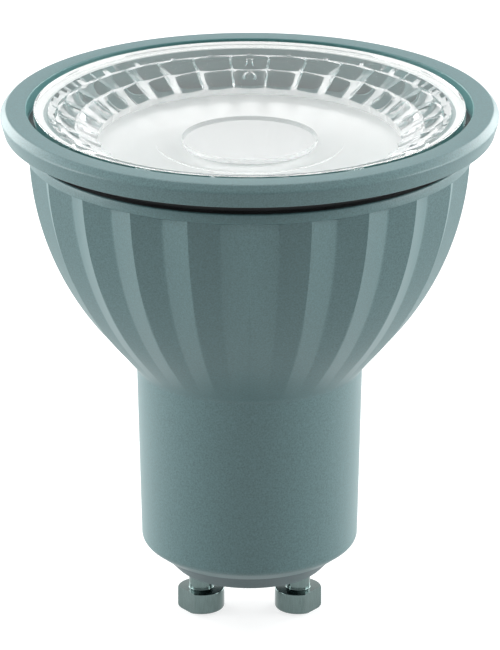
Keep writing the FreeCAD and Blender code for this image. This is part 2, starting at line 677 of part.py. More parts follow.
def choke_core():
    """Drum core of the choke: two flanges on a narrow drum, standing on two wire legs."""
    bottom = DRIVER_BOTTOM_Z + CHOKE_PLACE[1]
    top = bottom + CHOKE_LENGTH
    drum = turned(
        (0, bottom),
        (CHOKE_RADIUS, bottom),
        (CHOKE_RADIUS, bottom + CHOKE_FLANGE),
        (CHOKE_DRUM_RADIUS, bottom + CHOKE_FLANGE),
        (CHOKE_DRUM_RADIUS, top - CHOKE_FLANGE),
        (CHOKE_RADIUS, top - CHOKE_FLANGE),
        (CHOKE_RADIUS, top),
        (0, top),
    )
    y = DRIVER_FRONT_Y - CHOKE_RADIUS
    drum.translate(V(CHOKE_PLACE[0], y, 0))
    return drum.fuse(wire_legs(CHOKE_PLACE[0], y, bottom, CHOKE_DRUM_RADIUS)).removeSplitter()


def choke_winding():
    """Copper winding that fills the drum between the flanges."""
    bottom = DRIVER_BOTTOM_Z + CHOKE_PLACE[1] + CHOKE_FLANGE
    height = CHOKE_LENGTH - 2 * CHOKE_FLANGE
    coil = cylinder(CHOKE_WINDING_RADIUS, height, z=bottom).cut(cylinder(CHOKE_DRUM_RADIUS, height, z=bottom))
    coil.translate(V(CHOKE_PLACE[0], DRIVER_FRONT_Y - CHOKE_RADIUS, 0))
    return coil


def film_capacitor():
    """Boxed film capacitor on the front of the board, with rounded upright edges."""
    size = FILM_CAPACITOR_SIZE
    x, z = FILM_CAPACITOR_PLACE
    body = block(size, x, DRIVER_FRONT_Y - size[1] / 2, DRIVER_BOTTOM_Z + z)
    upright = [edge for edge in body.Edges if abs(edge.BoundBox.ZLength - size[2]) < 1e-4]
    front = [edge for edge in upright if edge.BoundBox.YMin < DRIVER_FRONT_Y - size[1] / 2]
    return body.makeFillet(FILM_CAPACITOR_ROUNDING, front)


def fusible_resistor():
    """Wire-wound resistor across the back of the board: dog-bone body and two bent legs."""
    x, z = RESISTOR_PLACE
    y = DRIVER_BACK_Y + RESISTOR_RADIUS
    z += DRIVER_BOTTOM_Z
    half = RESISTOR_LENGTH / 2
    waist = RESISTOR_RADIUS - RESISTOR_WAIST
    cap = RESISTOR_LENGTH / 5
    body = turned(
        (0, -half),
        (RESISTOR_RADIUS, -half),
        (RESISTOR_RADIUS, cap - half),
        (waist, cap + RESISTOR_WAIST - half),
        (waist, half - cap - RESISTOR_WAIST),
        (RESISTOR_RADIUS, half - cap),
        (RESISTOR_RADIUS, half),
        (0, half),
    )
    body.rotate(ORIGIN, V(0, 1, 0), 90)
    body.translate(V(x, y, z))
    legs = []
    for side in (-1, 1):
        tip = V(x + side * (half + WIRE_LEG_DROP), y, z)
        root = V(x + side * half, y, z)
        legs.append(Part.makeCylinder(WIRE_LEG_RADIUS, WIRE_LEG_DROP, root, V(side, 0, 0)))
        legs.append(Part.makeSphere(WIRE_LEG_RADIUS, tip))
        legs.append(Part.makeCylinder(WIRE_LEG_RADIUS, y - DRIVER_BACK_Y, tip, V(0, -1, 0)))
    return body.fuse(legs).removeSplitter()


def packaged_part(size, place, legs_each_side):
    """Moulded part with flat legs down both sides, soldered on the back of the board."""
    x, z = place
    z += DRIVER_BOTTOM_Z
    body = block((size[0], size[1] - LEG_THICKNESS, size[2]), x, 0, z)
    body.translate(V(0, DRIVER_BACK_Y + LEG_THICKNESS + (size[1] - LEG_THICKNESS) / 2, 0))
    legs = []
    pitch = size[2] / legs_each_side
    for index in range(legs_each_side):
        leg_z = z + pitch * (index + 0.5) - LEG_WIDTH / 2
        leg = (size[0] + 2 * LEG_REACH, LEG_THICKNESS, LEG_WIDTH)
        legs.append(block(leg, x, DRIVER_BACK_Y + LEG_THICKNESS / 2, leg_z))
    return body.fuse(legs).removeSplitter()


def chip_resistors():
    """Row of small chip resistors on the back of the board."""
    size = CHIP_RESISTOR_SIZE
    chips = []
    for index in range(CHIP_RESISTOR_COUNT):
        x = CHIP_RESISTOR_PLACE[0] + index * CHIP_RESISTOR_PITCH
        chips.append(block(size, x, DRIVER_BACK_Y + size[1] / 2, DRIVER_BOTTOM_Z + CHIP_RESISTOR_PLACE[1]))
    return Part.makeCompound(chips)


def bent_lead(radius, start, corner, end):
    """Insulated wire from start to end, rounded at its corner."""
    start, corner, end = V(*start), V(*corner), V(*end)
    back = (start - corner).normalize()
    onward = (end - corner).normalize()
    bend_in = corner + back * LEAD_BEND_RADIUS
    bend_out = corner + onward * LEAD_BEND_RADIUS
    centre = bend_in + onward * LEAD_BEND_RADIUS
    middle = centre + (corner - centre).normalize() * LEAD_BEND_RADIUS
    path = Part.Wire([
        Part.LineSegment(start, bend_in).toShape(),
        Part.Arc(bend_in, middle, bend_out).toShape(),
        Part.LineSegment(bend_out, end).toShape(),
    ])
    section = Part.Wire(Part.Circle(start, back, radius).toShape())
    return path.makePipeShell([section], True, False)


def mains_lead(side):
    """Lead from the tail of a contact pin up and back into the driver board."""
    x = side * PIN_X
    z = DRIVER_BOTTOM_Z + MAINS_LEAD_ENTRY
    return bent_lead(MAINS_LEAD_RADIUS, (x, 0, PIN_TAIL_Z), (x, 0, z), (x, DRIVER_FRONT_Y, z))


def led_lead(side):
    """Lead from the back of the driver board up through the heat sink to the LED board."""
    x = side * LEAD_HOLE_X
    z = DRIVER_BOTTOM_Z + LED_LEAD_ENTRY
    top = BOARD_TOP_Z + LED_LEAD_END
    return bent_lead(LED_LEAD_RADIUS, (x, DRIVER_BACK_Y, z), (x, LEAD_HOLE_Y, z), (x, LEAD_HOLE_Y, top))


def lamp():
    """Every piece of the lamp, by name."""
    big = can_capacitor(BIG_CAPACITOR_RADIUS, BIG_CAPACITOR_LENGTH, BIG_CAPACITOR_PLACE)
    small = can_capacitor(SMALL_CAPACITOR_RADIUS, SMALL_CAPACITOR_LENGTH, SMALL_CAPACITOR_PLACE)
    return {
        "bezel_ring": bezel_ring(),
        "lens_seal": lens_seal(),
        "optic_lens": optic_lens(),
        "housing": housing(),
        "base_end_cap": base_end_cap(),
        "contact_pin_left": contact_pin(-1),
        "contact_pin_right": contact_pin(1),
        "light_diffuser": light_diffuser(),
        "led_board": led_board(),
        "emitter_base": emitter_base(),
        "emitter_dam": emitter_dam(),
        "emitter_gel": emitter_gel(),
        "thermal_pad": thermal_pad(),
        "heat_sink": heat_sink(),
        "driver_board": driver_board(),
        "smoothing_capacitor": big,
        "output_capacitor": small,
        "choke_core": choke_core(),
        "choke_winding": choke_winding(),
        "film_capacitor": film_capacitor(),
        "fusible_resistor": fusible_resistor(),
        "bridge_rectifier": packaged_part(BRIDGE_SIZE, BRIDGE_PLACE, 2),
        "driver_chip": packaged_part(CHIP_SIZE, CHIP_PLACE, 4),
        "freewheel_diode": packaged_part(DIODE_SIZE, DIODE_PLACE, 1),
        "chip_resistors": chip_resistors(),
        "mains_lead_left": mains_lead(-1),
        "mains_lead_right": mains_lead(1),
        "led_lead_negative": led_lead(-1),
        "led_lead_positive": led_lead(1),
    }


def main():
    os.makedirs("parts", exist_ok=True)
    for name, shape in lamp().items():
        solids = shape.Solids
        piece = solids[0] if len(solids) == 1 else Part.makeCompound(solids)
        piece.exportStep("parts/" + name + ".step")


main()
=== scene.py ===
import json
import math

import bmesh
import bpy
from bpy.props import FloatProperty, FloatVectorProperty, IntProperty, PointerProperty
from mathutils import Matrix, Vector


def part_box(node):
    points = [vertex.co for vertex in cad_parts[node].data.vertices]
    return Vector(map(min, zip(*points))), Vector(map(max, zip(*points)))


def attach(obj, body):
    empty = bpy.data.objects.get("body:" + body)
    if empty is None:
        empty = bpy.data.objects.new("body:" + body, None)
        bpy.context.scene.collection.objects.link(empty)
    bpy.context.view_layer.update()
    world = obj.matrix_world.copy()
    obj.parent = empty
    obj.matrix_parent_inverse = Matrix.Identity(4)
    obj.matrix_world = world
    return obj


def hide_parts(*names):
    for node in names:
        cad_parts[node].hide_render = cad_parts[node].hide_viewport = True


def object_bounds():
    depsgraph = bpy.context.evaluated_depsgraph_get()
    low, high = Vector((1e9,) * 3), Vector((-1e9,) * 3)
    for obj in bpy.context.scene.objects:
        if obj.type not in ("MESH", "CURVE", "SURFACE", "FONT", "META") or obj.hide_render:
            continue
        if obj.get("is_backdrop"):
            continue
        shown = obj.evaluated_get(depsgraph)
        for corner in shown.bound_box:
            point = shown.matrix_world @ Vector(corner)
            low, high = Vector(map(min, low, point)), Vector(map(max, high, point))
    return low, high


bl_info = {
    "name": "Spotlight Lamp",
    "version": (1, 0, 0),
    "blender": (4, 5, 0),
    "location": "View3D > Sidebar > Lamp",
    "description": "Builds the visible pieces and the studio of a two-pin spotlight lamp",
    "category": "Add Mesh",
}

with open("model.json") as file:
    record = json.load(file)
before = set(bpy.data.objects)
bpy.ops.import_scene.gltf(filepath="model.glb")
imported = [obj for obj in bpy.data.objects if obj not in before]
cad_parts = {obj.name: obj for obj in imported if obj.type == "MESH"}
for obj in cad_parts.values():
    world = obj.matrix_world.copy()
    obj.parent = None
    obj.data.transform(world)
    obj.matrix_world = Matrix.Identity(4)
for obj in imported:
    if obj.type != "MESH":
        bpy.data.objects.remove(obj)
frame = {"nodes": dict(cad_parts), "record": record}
CAD_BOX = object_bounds()
MM = 0.001
ROOT = "root"

BEZEL_LOW, BEZEL_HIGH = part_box("bezel_ring")
HOUSING_LOW, HOUSING_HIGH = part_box("housing")
LENS_LOW, LENS_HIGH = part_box("optic_lens")
CAP_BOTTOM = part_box("base_end_cap")[0].z
SEAL_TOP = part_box("lens_seal")[1].z

# Turned pieces: edges sharper than the crease stay sharp, and points this close are merged
CREASE = math.radians(30)
FLUTE_CREASE = math.radians(32)
MERGE_DISTANCE = 0.002 * MM
SMOOTH = {"waves": 64, "steps": 2}
WAVE_STEPS = 6
GROOVE_START = 0.97
COUNT_GUARD = 1e-4
AXIS_RADIUS = 1e-7

# Housing
RIM_PROUD = 0.05 * MM
RIM_WALL = 1.0 * MM
RIM_ROUNDING = 0.15 * MM
RIM_BORE_ROUNDING = 0.1 * MM
RIM_BORE_DEPTH = 2.0 * MM
MOUTH_SLOPE = 1.0 * MM
INNER_WALL = 1.1 * MM
FOOT_ROUNDING = 0.12 * MM
JUNCTION_BLEND = 0.9 * MM
STEP_TUCK = 0.1 * MM
FLAT_SHARE = 0.5
CAP_LIP = 1.9 * MM
CAP_RECESS_RADIUS = 8.75 * MM
ARC_STEPS = 6
FLUTE_ROWS = 40
INNER_ROWS = 12

# Front ring
UNDERSIDE_ROUNDING = 0.16 * MM
BEVEL_FOOT_ROUNDING = 0.32 * MM
BEVEL_HEAD_ROUNDING = 0.28 * MM

# Optic: the marks are radius and depth under its top, from the foot up
FACET_MARKS = ((15.3 * MM, 11.6 * MM), (17.6 * MM, 6.8 * MM), (19.45 * MM, 3.0 * MM))
PILLOW_ROWS = 9
VALLEY_SHAPE = {"roundness": 2.0, "groove": 0.22}
LENS_EDGE = 0.12 * MM
AIR_GAP = 0.03 * MM
KEY_ROOT = 0.35 * MM
RIB_SIDES = 4
DROP_SIDES = 48

# Contact pins
HEAD_TOP_ROUNDING = 0.12 * MM
NECK_FILLET = 0.08 * MM
NECK_IN_CAP = 4.0 * MM

# Grey plastic: its speckle, its gloss, the painted shade on its walls that face the axis, and the painted shade
# on the floor of the gap under the front ring
SPECKLE = 0.18
GLOSS_SPREAD = 0.05
BUMP_STRENGTH = 0.5
INWARD = -5 * MM
GAP_RADIUS = 22.2 * MM
GAP_BORE = 21.3 * MM
GAP_DEPTH = 0.06 * MM
GAP_SHADE = (0.02, 0.022, 0.024)

# Other finishes
MOTTLE_GLOSS = 0.15
PRINT_RADIUS = 15.4 * MM
PRINT_FADE = 0.1 * MM
PRINT_ROUGHNESS = 0.4
ACRYLIC_IOR = 1.49
FROST_RADIUS = 9.6 * MM
FROST_HEIGHT = 1.85 * MM
FROST_FOOT = 0.06 * MM
FROST_ROUGHNESS = 0.45
BRUSH_MARK = 0.12 * MM
BRUSH_STRETCH = (1.4, 1.4, 0.12)
BRUSH_RELIEF = 0.012 * MM
BRUSH_ROUGHNESS = (0.12, 0.24)

# Studio: name, place, size and power of each light, and the strengths of the world and the floor
LIGHTS = (
    ("left softbox", (-0.42, 0.0, 0.12), 0.24, 1.25),
    ("right softbox", (0.42, 0.0, 0.12), 0.24, 1.25),
    ("left rim light", (-0.32, 0.34, 0.14), 0.28, 1.5),
    ("right rim light", (0.32, 0.34, 0.14), 0.28, 1.5),
    ("top softbox", (0.0, 0.1, 0.6), 0.5, 1.7),
)
LIGHT_AIM = Vector((0.0, 0.0, 0.03))
WORLD_EVEN = 0.045
WORLD_SIDES = 0.68
WORLD_BACK = 0.85
WORLD_TOP = 0.2
FLOOR_HALF = 4.0
FLOOR_GREY = (0.42, 0.43, 0.43)
FLOOR_ROUGHNESS = 0.9
FLOOR_GLOW = 0.7
LENS_BOUNCES = 32


def length(name, description, default):
    """A size in metres for the panel."""
    return FloatProperty(name=name, description=description, default=default, unit="LENGTH", precision=5)


def colour(name, description, default):
    """A surface colour for the panel."""
    return FloatVectorProperty(
        name=name, description=description, default=default, subtype="COLOR", size=3, min=0.0, max=1.0
    )


class HousingSizes(bpy.types.PropertyGroup):
    """Sizes of the fluted housing."""

    rim_radius: length("Rim radius", "Radius of the smooth rim over the flutes", HOUSING_HIGH.x)
    rim_height: length("Rim height", "Height of the smooth rim", 0.95 * MM)
    step_height: length("Step height", "Height of the slanted step at the top of each flute", 0.5 * MM)
    flute_count: IntProperty(name="Flutes", description="Number of flutes round the bowl", default=23, min=3)
    flute_depth: length("Flute depth", "Depth of a flute where it is deepest", 0.9 * MM)
    cone_angle: FloatProperty(
        name="Cone angle", description="Slope of the lower bowl from the axis", default=math.radians(41.1),
        subtype="ANGLE",
    )
    bowl_bend: length("Bowl bend", "Radius of the arc that turns the bowl upright", 32.4 * MM)
    junction_height: length("Junction height", "Height at which the bowl meets the base", 27.05 * MM)
    junction_radius: length("Junction radius", "Radius of the base at its top", 11.47 * MM)
    shoulder_radius: length("Shoulder radius", "Radius of the base over its cone", 11.05 * MM)
    foot_radius: length("Foot radius", "Radius at the lower end of the cone", 9.6 * MM)
    cone_height: length("Cone height", "Height of the cone under the shoulder", 1.1 * MM)
    shoulder_fillet: length("Shoulder fillet", "Rounding of the shoulder", 1.0 * MM)
    wall: length("Wall", "Wall of the base", 1.5 * MM)


class BezelSizes(bpy.types.PropertyGroup):
    """Sizes of the front ring."""

    face_radius: length("Face radius", "Largest radius of the ring", BEZEL_HIGH.x)
    bottom_radius: length("Bottom radius", "Radius of the ring at its underside", 24.56 * MM)
    side_height: length("Side height", "Height of the ring's side", 2.3 * MM)
    chamfer_height: length("Chamfer height", "Height of the bevel at the outer top edge", 0.7 * MM)
    chamfer_width: length("Chamfer width", "Width of the bevel at the outer top edge", 0.6 * MM)
    opening_radius: length("Opening radius", "Radius of the opening round the lens", 22.35 * MM)
    opening_rounding: length("Opening rounding", "Rounding of the opening's edge", 0.14 * MM)
    shelf: length("Shelf", "Thickness of the shelf that carries the lens", 0.55 * MM)
    skirt_outer: length("Skirt radius", "Outer radius of the skirt inside the rim", 21.37 * MM)
    skirt_inner: length("Skirt bore", "Inner radius of the skirt", 20.32 * MM)


class LensSizes(bpy.types.PropertyGroup):
    """Sizes of the clear optic."""

    radius: length("Radius", "Radius of the lens's flange", LENS_HIGH.x)
    neck_radius: length("Neck radius", "Radius under the flange", 20.2 * MM)
    foot_radius: length("Foot radius", "Radius of the foot that stands on the board", 15.25 * MM)
    columns: IntProperty(name="Facet columns", description="Number of facet columns", default=30, min=6)
    facet_bulge: length("Facet bulge", "Rise of each pillow facet over its edges", 0.12 * MM)
    facet_roundness: length("Facet roundness", "Sideways radius of a pillow facet", 5.2 * MM)
    groove_depth: length("Groove depth", "Depth of the fine groove between two columns", 0.07 * MM)
    scallop: length("Scallop", "Rise of each facet's lower edge toward its corners", 1.1 * MM)
    land_height: length("Land height", "Height of the upright land over each facet", 0.35 * MM)
    well_radius: length("Well", "Radius of the well over the diffuser", 6.8 * MM)
    well_height: length("Well height", "Height of the well over the board", 1.9 * MM)
    step_radius: length("Step", "Radius of the shallow step round the well", 9.4 * MM)
    step_height: length("Step height", "Height of the step over the board", 0.2 * MM)
    key_width: length("Key rib", "Width of the upright key rib at the back", 0.9 * MM)
    key_proud: length("Rib height", "Height of the rib over its facet", 0.25 * MM)
    boss_width: length("Key boss", "Width of the boss under the rib", 1.5 * MM)
    boss_length: length("Boss length", "Length of the boss down its facet", 4.2 * MM)
    boss_proud: length("Boss height", "Height of the boss over its facet", 0.3 * MM)


class PinSizes(bpy.types.PropertyGroup):
    """Sizes of a contact pin."""

    spacing: length("Spacing", "Distance between the two pins", 10.0 * MM)
    head_radius: length("Head radius", "Radius of the head", 2.4 * MM)
    head_height: length("Head height", "Height of the head", 2.27 * MM)
    edge_radius: length("Edge rounding", "Rounding of the head's lower edge", 0.35 * MM)
    neck_radius: length("Neck radius", "Radius of the neck", 1.25 * MM)
    flat_depth: length("Flat depth", "Depth of the flat on the head", 0.48 * MM)
    flat_bearing: FloatProperty(
        name="Flat bearing", description="Direction of the flat from the front", default=math.radians(53),
        subtype="ANGLE",
    )


class LampFinishes(bpy.types.PropertyGroup):
    """Colours of the lamp's visible materials."""

    housing_grey: colour("Housing", "Grey-green of the housing and the ring", (0.106, 0.192, 0.2))
    # Painted shade: this colour darkens the housing's walls that face the axis; the board's grey border takes
    # it too
    inside_shade_and_border_grey: colour("Housing inside", "Darker bare plastic of the housing's inside", (0.06, 0.18, 0.18))
    cap_grey: colour("End cap", "Darker grey of the end cap", (0.066, 0.112, 0.122))
    nickel: colour("Pins", "Nickel of the contact pins", (0.14, 0.19, 0.185))
    seal_white: colour("Seal", "White of the ring under the lens", (0.9, 0.91, 0.9))
    board_white: colour("Board", "White of the board under the lens", (0.97, 0.97, 0.96))
    lens_tint: colour("Lens", "Tint of the clear optic", (0.985, 1.0, 0.995))


class StudioSettings(bpy.types.PropertyGroup):
    """The camera."""

    camera_lens: FloatProperty(name="Focal length", description="Camera's focal length in mm", default=299.5)
    camera_place: FloatVectorProperty(
        name="Camera", description="Place of the camera", default=(0.0, -0.5142, 0.2232),
        subtype="TRANSLATION", precision=5,
    )
    camera_aim: FloatVectorProperty(
        name="Aim", description="Point that the camera looks at", default=(0.00004, 0.0, 0.03106),
        subtype="TRANSLATION", precision=5,
    )


class Field:
    """A value in a node tree that is reckoned with like a number."""

    def __init__(self, tree, socket):
        self.tree = tree
        self.socket = socket

    def math(self, operation, *values):
        node = self.tree.nodes.new("ShaderNodeMath")
        node.operation = operation
        for index, value in enumerate(values):
            if isinstance(value, Field):
                self.tree.links.new(value.socket, node.inputs[index])
            else:
                node.inputs[index].default_value = value
        return Field(self.tree, node.outputs[0])

    def __add__(self, other):
        return self.math("ADD", self, other)

    def __radd__(self, other):
        return self.math("ADD", other, self)

    def __sub__(self, other):
        return self.math("SUBTRACT", self, other)

    def __rsub__(self, other):
        return self.math("SUBTRACT", other, self)

    def __mul__(self, other):
        return self.math("MULTIPLY", self, other)

    def __rmul__(self, other):
        return self.math("MULTIPLY", other, self)

    def __truediv__(self, other):
        return self.math("DIVIDE", self, other)

    def __rtruediv__(self, other):
        return self.math("DIVIDE", other, self)

    def __pow__(self, other):
        return self.math("POWER", self, other)

    def sin(self):
        return self.math("SINE", self)

    def cos(self):
        return self.math("COSINE", self)

    def floor(self):
        return self.math("FLOOR", self)

    def round(self):
        return self.math("ROUND", self)

    def pingpong(self, scale):
        return self.math("PINGPONG", self, scale)

    def mixed(self, other, share):
        """Runs from this value at share 0 to the other at share 1."""
        return self + (other - self) * share


def turned_tree():
    """Node tree that turns an outline about the axis, with an even wave pressed into it.

    Each point of the outline is a place on a crest; its attribute "hollow" is the place between
    two crests, and its attribute "flat" is 1 where the walls between them are flat."""
    tree = bpy.data.node_groups.new("Turned outline", "GeometryNodeTree")
    tree.is_modifier = True
    inputs = (
        ("Outline", "NodeSocketGeometry", None),
        ("Rows", "NodeSocketInt", 2),
        ("Waves", "NodeSocketInt", SMOOTH["waves"]),
        ("Steps", "NodeSocketInt", SMOOTH["steps"]),
        ("Roundness", "NodeSocketFloat", 1.0),
        ("Groove", "NodeSocketFloat", 0.0),
        ("Start", "NodeSocketFloat", -math.pi / 2),
        ("Crease", "NodeSocketFloat", CREASE),
        ("Material", "NodeSocketMaterial", None),
    )
    for name, kind, value in inputs:
        socket = tree.interface.new_socket(name, in_out="INPUT", socket_type=kind)
        if value is not None:
            socket.default_value = value
    tree.interface.new_socket("Piece", in_out="OUTPUT", socket_type="NodeSocketGeometry")
    nodes, links = tree.nodes, tree.links
    entry = nodes.new("NodeGroupInput")
    given = {name: entry.outputs[name] for name, kind, value in inputs}
    rows = Field(tree, given["Rows"])
    waves = Field(tree, given["Waves"])

    grid = nodes.new("GeometryNodeMeshGrid")
    grid.inputs["Size X"].default_value = 1.0
    grid.inputs["Size Y"].default_value = 1.0
    links.new((waves * 2 * Field(tree, given["Steps"]) + 1).socket, grid.inputs["Vertices X"])
    links.new(rows.socket, grid.inputs["Vertices Y"])

    place = nodes.new("GeometryNodeInputPosition")
    split = nodes.new("ShaderNodeSeparateXYZ")
    links.new(place.outputs[0], split.inputs[0])
    across = (Field(tree, split.outputs["X"]) + 0.5) * waves * 2
    row = ((Field(tree, split.outputs["Y"]) + 0.5) * (rows - 1)).round()
    whole = (across + COUNT_GUARD).floor()
    part = 0.5 - 0.5 * ((across - whole) * math.pi).cos()
    turn = whole + part
    angle = Field(tree, given["Start"]) + turn * math.pi / waves
    between = turn.pingpong(1.0)
    groove = Field(tree, given["Groove"])
    in_groove = between.math("GREATER_THAN", between, GROOVE_START)
    share = (between ** Field(tree, given["Roundness"])).mixed(in_groove, groove)

    def sampled(kind, source):
        node = nodes.new("GeometryNodeSampleIndex")
        node.data_type = kind
        node.domain = "POINT"
        links.new(given["Outline"], node.inputs["Geometry"])
        links.new(source, node.inputs["Value"])
        links.new(row.socket, node.inputs["Index"])
        return node.outputs["Value"]

    def named(kind, name):
        node = nodes.new("GeometryNodeInputNamedAttribute")
        node.data_type = kind
        node.inputs["Name"].default_value = name
        return node.outputs["Attribute"]

    crest = nodes.new("ShaderNodeSeparateXYZ")
    links.new(sampled("FLOAT_VECTOR", place.outputs[0]), crest.inputs[0])
    hollow = nodes.new("ShaderNodeSeparateXYZ")
    links.new(sampled("FLOAT_VECTOR", named("FLOAT_VECTOR", "hollow")), hollow.inputs[0])
    flat = Field(tree, sampled("FLOAT", named("FLOAT", "flat")))
    crest_radius = Field(tree, crest.outputs["X"])
    hollow_radius = Field(tree, hollow.outputs["X"])
    round_radius = crest_radius.mixed(hollow_radius, share)
    pitch = math.pi / waves
    swing = pitch * share
    from_crest = (pitch - swing).sin() / (crest_radius + AXIS_RADIUS)
    flat_radius = pitch.sin() / (from_crest + swing.sin() / (hollow_radius + AXIS_RADIUS))
    radius = round_radius.mixed(flat_radius, flat)
    height = Field(tree, crest.outputs["Z"]).mixed(Field(tree, hollow.outputs["Z"]), share)
    target = nodes.new("ShaderNodeCombineXYZ")
    links.new((radius * angle.cos()).socket, target.inputs["X"])
    links.new((radius * angle.sin()).socket, target.inputs["Y"])
    links.new(height.socket, target.inputs["Z"])

    moved = nodes.new("GeometryNodeSetPosition")
    links.new(grid.outputs["Mesh"], moved.inputs["Geometry"])
    links.new(target.outputs[0], moved.inputs["Position"])
    joined = nodes.new("GeometryNodeMergeByDistance")
    joined.inputs["Distance"].default_value = MERGE_DISTANCE
    links.new(moved.outputs[0], joined.inputs["Geometry"])
    bend = nodes.new("GeometryNodeInputMeshEdgeAngle")
    smooth = nodes.new("FunctionNodeCompare")
    smooth.data_type = "FLOAT"
    smooth.operation = "LESS_THAN"
    links.new(bend.outputs["Unsigned Angle"], smooth.inputs[0])
    links.new(given["Crease"], smooth.inputs[1])
    faces = nodes.new("GeometryNodeSetShadeSmooth")
    faces.domain = "FACE"
    links.new(joined.outputs[0], faces.inputs["Geometry"])
    edges = nodes.new("GeometryNodeSetShadeSmooth")
    edges.domain = "EDGE"
    links.new(faces.outputs[0], edges.inputs["Geometry"])
    links.new(smooth.outputs["Result"], edges.inputs["Shade Smooth"])
    real = nodes.new("GeometryNodeRealizeInstances")
    links.new(edges.outputs[0], real.inputs[0])
    painted = nodes.new("GeometryNodeSetMaterial")
    links.new(real.outputs[0], painted.inputs["Geometry"])
    links.new(given["Material"], painted.inputs["Material"])
    leave = nodes.new("NodeGroupOutput")
    links.new(painted.outputs[0], leave.inputs["Piece"])
    return tree


def applied(piece, modifier):
    """Makes the result of a modifier the plain mesh of its piece, and removes the modifier."""
    evaluated = piece.evaluated_get(bpy.context.evaluated_depsgraph_get())
    mesh = bpy.data.meshes.new_from_object(evaluated)
    piece.modifiers.remove(modifier)
    piece.data = mesh
    return mesh


def run_tree(piece, tree, values):
    """Runs a node tree on a piece and keeps the result as its plain mesh."""
    modifier = piece.modifiers.new(tree.name, "NODES")
    modifier.node_group = tree
    for item in tree.interface.items_tree:
        if item.item_type == "SOCKET" and item.in_out == "INPUT" and item.name in values:
            modifier[item.identifier] = values[item.name]
    mesh = applied(piece, modifier)
    mesh.materials.clear()
    mesh.materials.append(values["Material"])
    mesh.name = piece.name


def turned_piece(name, rows, material, **values):
    """A closed piece turned from outline rows.

    A row is (radius, height), or (radius, height, hollow radius, hollow height, flat)."""
    full = [row if len(row) == 5 else (row[0], row[1], row[0], row[1], 0.0) for row in rows]
    full.append(full[0])
    outline = bpy.data.meshes.new(name)
    points = [(row[0], 0.0, row[1]) for row in full]
    outline.from_pydata(points, [(k, k + 1) for k in range(len(points) - 1)], [])
    outline.attributes.new("hollow", "FLOAT_VECTOR", "POINT")
    outline.attributes.new("flat", "FLOAT", "POINT")
    for index, row in enumerate(full):
        outline.attributes["hollow"].data[index].vector = (row[2], 0.0, row[3])
        outline.attributes["flat"].data[index].value = row[4]
    piece = bpy.data.objects.new(name, outline)
    bpy.context.scene.collection.objects.link(piece)
    values = {key.capitalize(): value for key, value in values.items()}
    tree = bpy.data.node_groups.get("Turned outline") or turned_tree()
    run_tree(piece, tree, {"Rows": len(full), "Material": material, **values})
    return piece


def joined_form(piece, form):
    """Joins a bmesh form to a piece, and keeps the creases of the piece sharp."""
    data = bpy.data.meshes.new("form")
    form.to_mesh(data)
    form.free()
    data.materials.append(piece.data.materials[0])
    added = bpy.data.objects.new("form", data)
    bpy.context.scene.collection.objects.link(added)
    modifier = piece.modifiers.new("form", "BOOLEAN")
    modifier.operation = "UNION"
    modifier.solver = "EXACT"
    modifier.object = added
    applied(piece, modifier)
    bpy.data.objects.remove(added)
    mesh = bmesh.new()
    mesh.from_mesh(piece.data)
    for face in mesh.faces:
        face.smooth = True
    for edge in mesh.edges:
        edge.smooth = edge.calc_face_angle(math.pi) < CREASE
    mesh.to_mesh(piece.data)
    mesh.free()


def rounded(corners, steps=ARC_STEPS):
    """Outline points with arcs in place of the corners that have a third value, a radius."""
    points = []
    count = len(corners)
    for index, corner in enumerate(corners):
        here = Vector(corner[:2])
        radius = corner[2] if len(corner) > 2 else 0.0
        back = Vector(corners[index - 1][:2]) - here
        onward = Vector(corners[(index + 1) % count][:2]) - here
        if not radius:
            points.append(tuple(here))
            continue
        back.normalize()
        onward.normalize()
        half = back.angle(onward) / 2
        centre = here + (back + onward).normalized() * (radius / math.sin(half))
        start = here + back * (radius / math.tan(half)) - centre
        end = here + onward * (radius / math.tan(half)) - centre
        sweep = start.angle_signed(end)
        for step in range(steps + 1):
            turn = sweep * step / steps
            arm = Vector((
                start.x * math.cos(turn) + start.y * math.sin(turn),
                start.y * math.cos(turn) - start.x * math.sin(turn),
            ))
            points.append(tuple(centre + arm))
    return points


def arc_points(start, end, rise, steps):
    """Points from start to end on an arc that rises to the right of the run by rise."""
    start, end = Vector(start), Vector(end)
    run = end - start
    across = Vector((run.y, -run.x)).normalized()
    reach = run.length / 2
    radius = (reach**2 + rise**2) / (2 * rise)
    centre = (start + end) / 2 + across * (rise - radius)
    onward = run.normalized()
    half = math.asin(reach / radius)
    points = []
    for step in range(steps + 1):
        turn = half * (2 * step / steps - 1)
        points.append(tuple(centre + across * radius * math.cos(turn) + onward * radius * math.sin(turn)))
    return points


def bowl_line(sizes, inset=0.0):
    """The bowl's crest line, or a line inset from it: gives the radius at a height."""
    along = Vector((math.sin(sizes.cone_angle), math.cos(sizes.cone_angle)))
    inward = Vector((-along.y, along.x))
    foot = Vector((sizes.junction_radius, sizes.junction_height))
    rim_bottom = HOUSING_HIGH.z - sizes.rim_height
    top = Vector((sizes.rim_radius - RIM_PROUD, rim_bottom))
    reach = top - foot - inward * sizes.bowl_bend
    run = reach.dot(along)
    run -= math.sqrt(run**2 - reach.length_squared + sizes.bowl_bend**2)
    touch = foot + along * run
    centre = touch + inward * sizes.bowl_bend
    touch = touch + inward * inset
    bend = sizes.bowl_bend - inset

    def radius_at(z):
        if z >= touch.y:
            return centre.x + math.sqrt(bend**2 - (z - centre.y) ** 2)
        return touch.x - (touch.y - z) * math.tan(sizes.cone_angle)

    return radius_at, touch


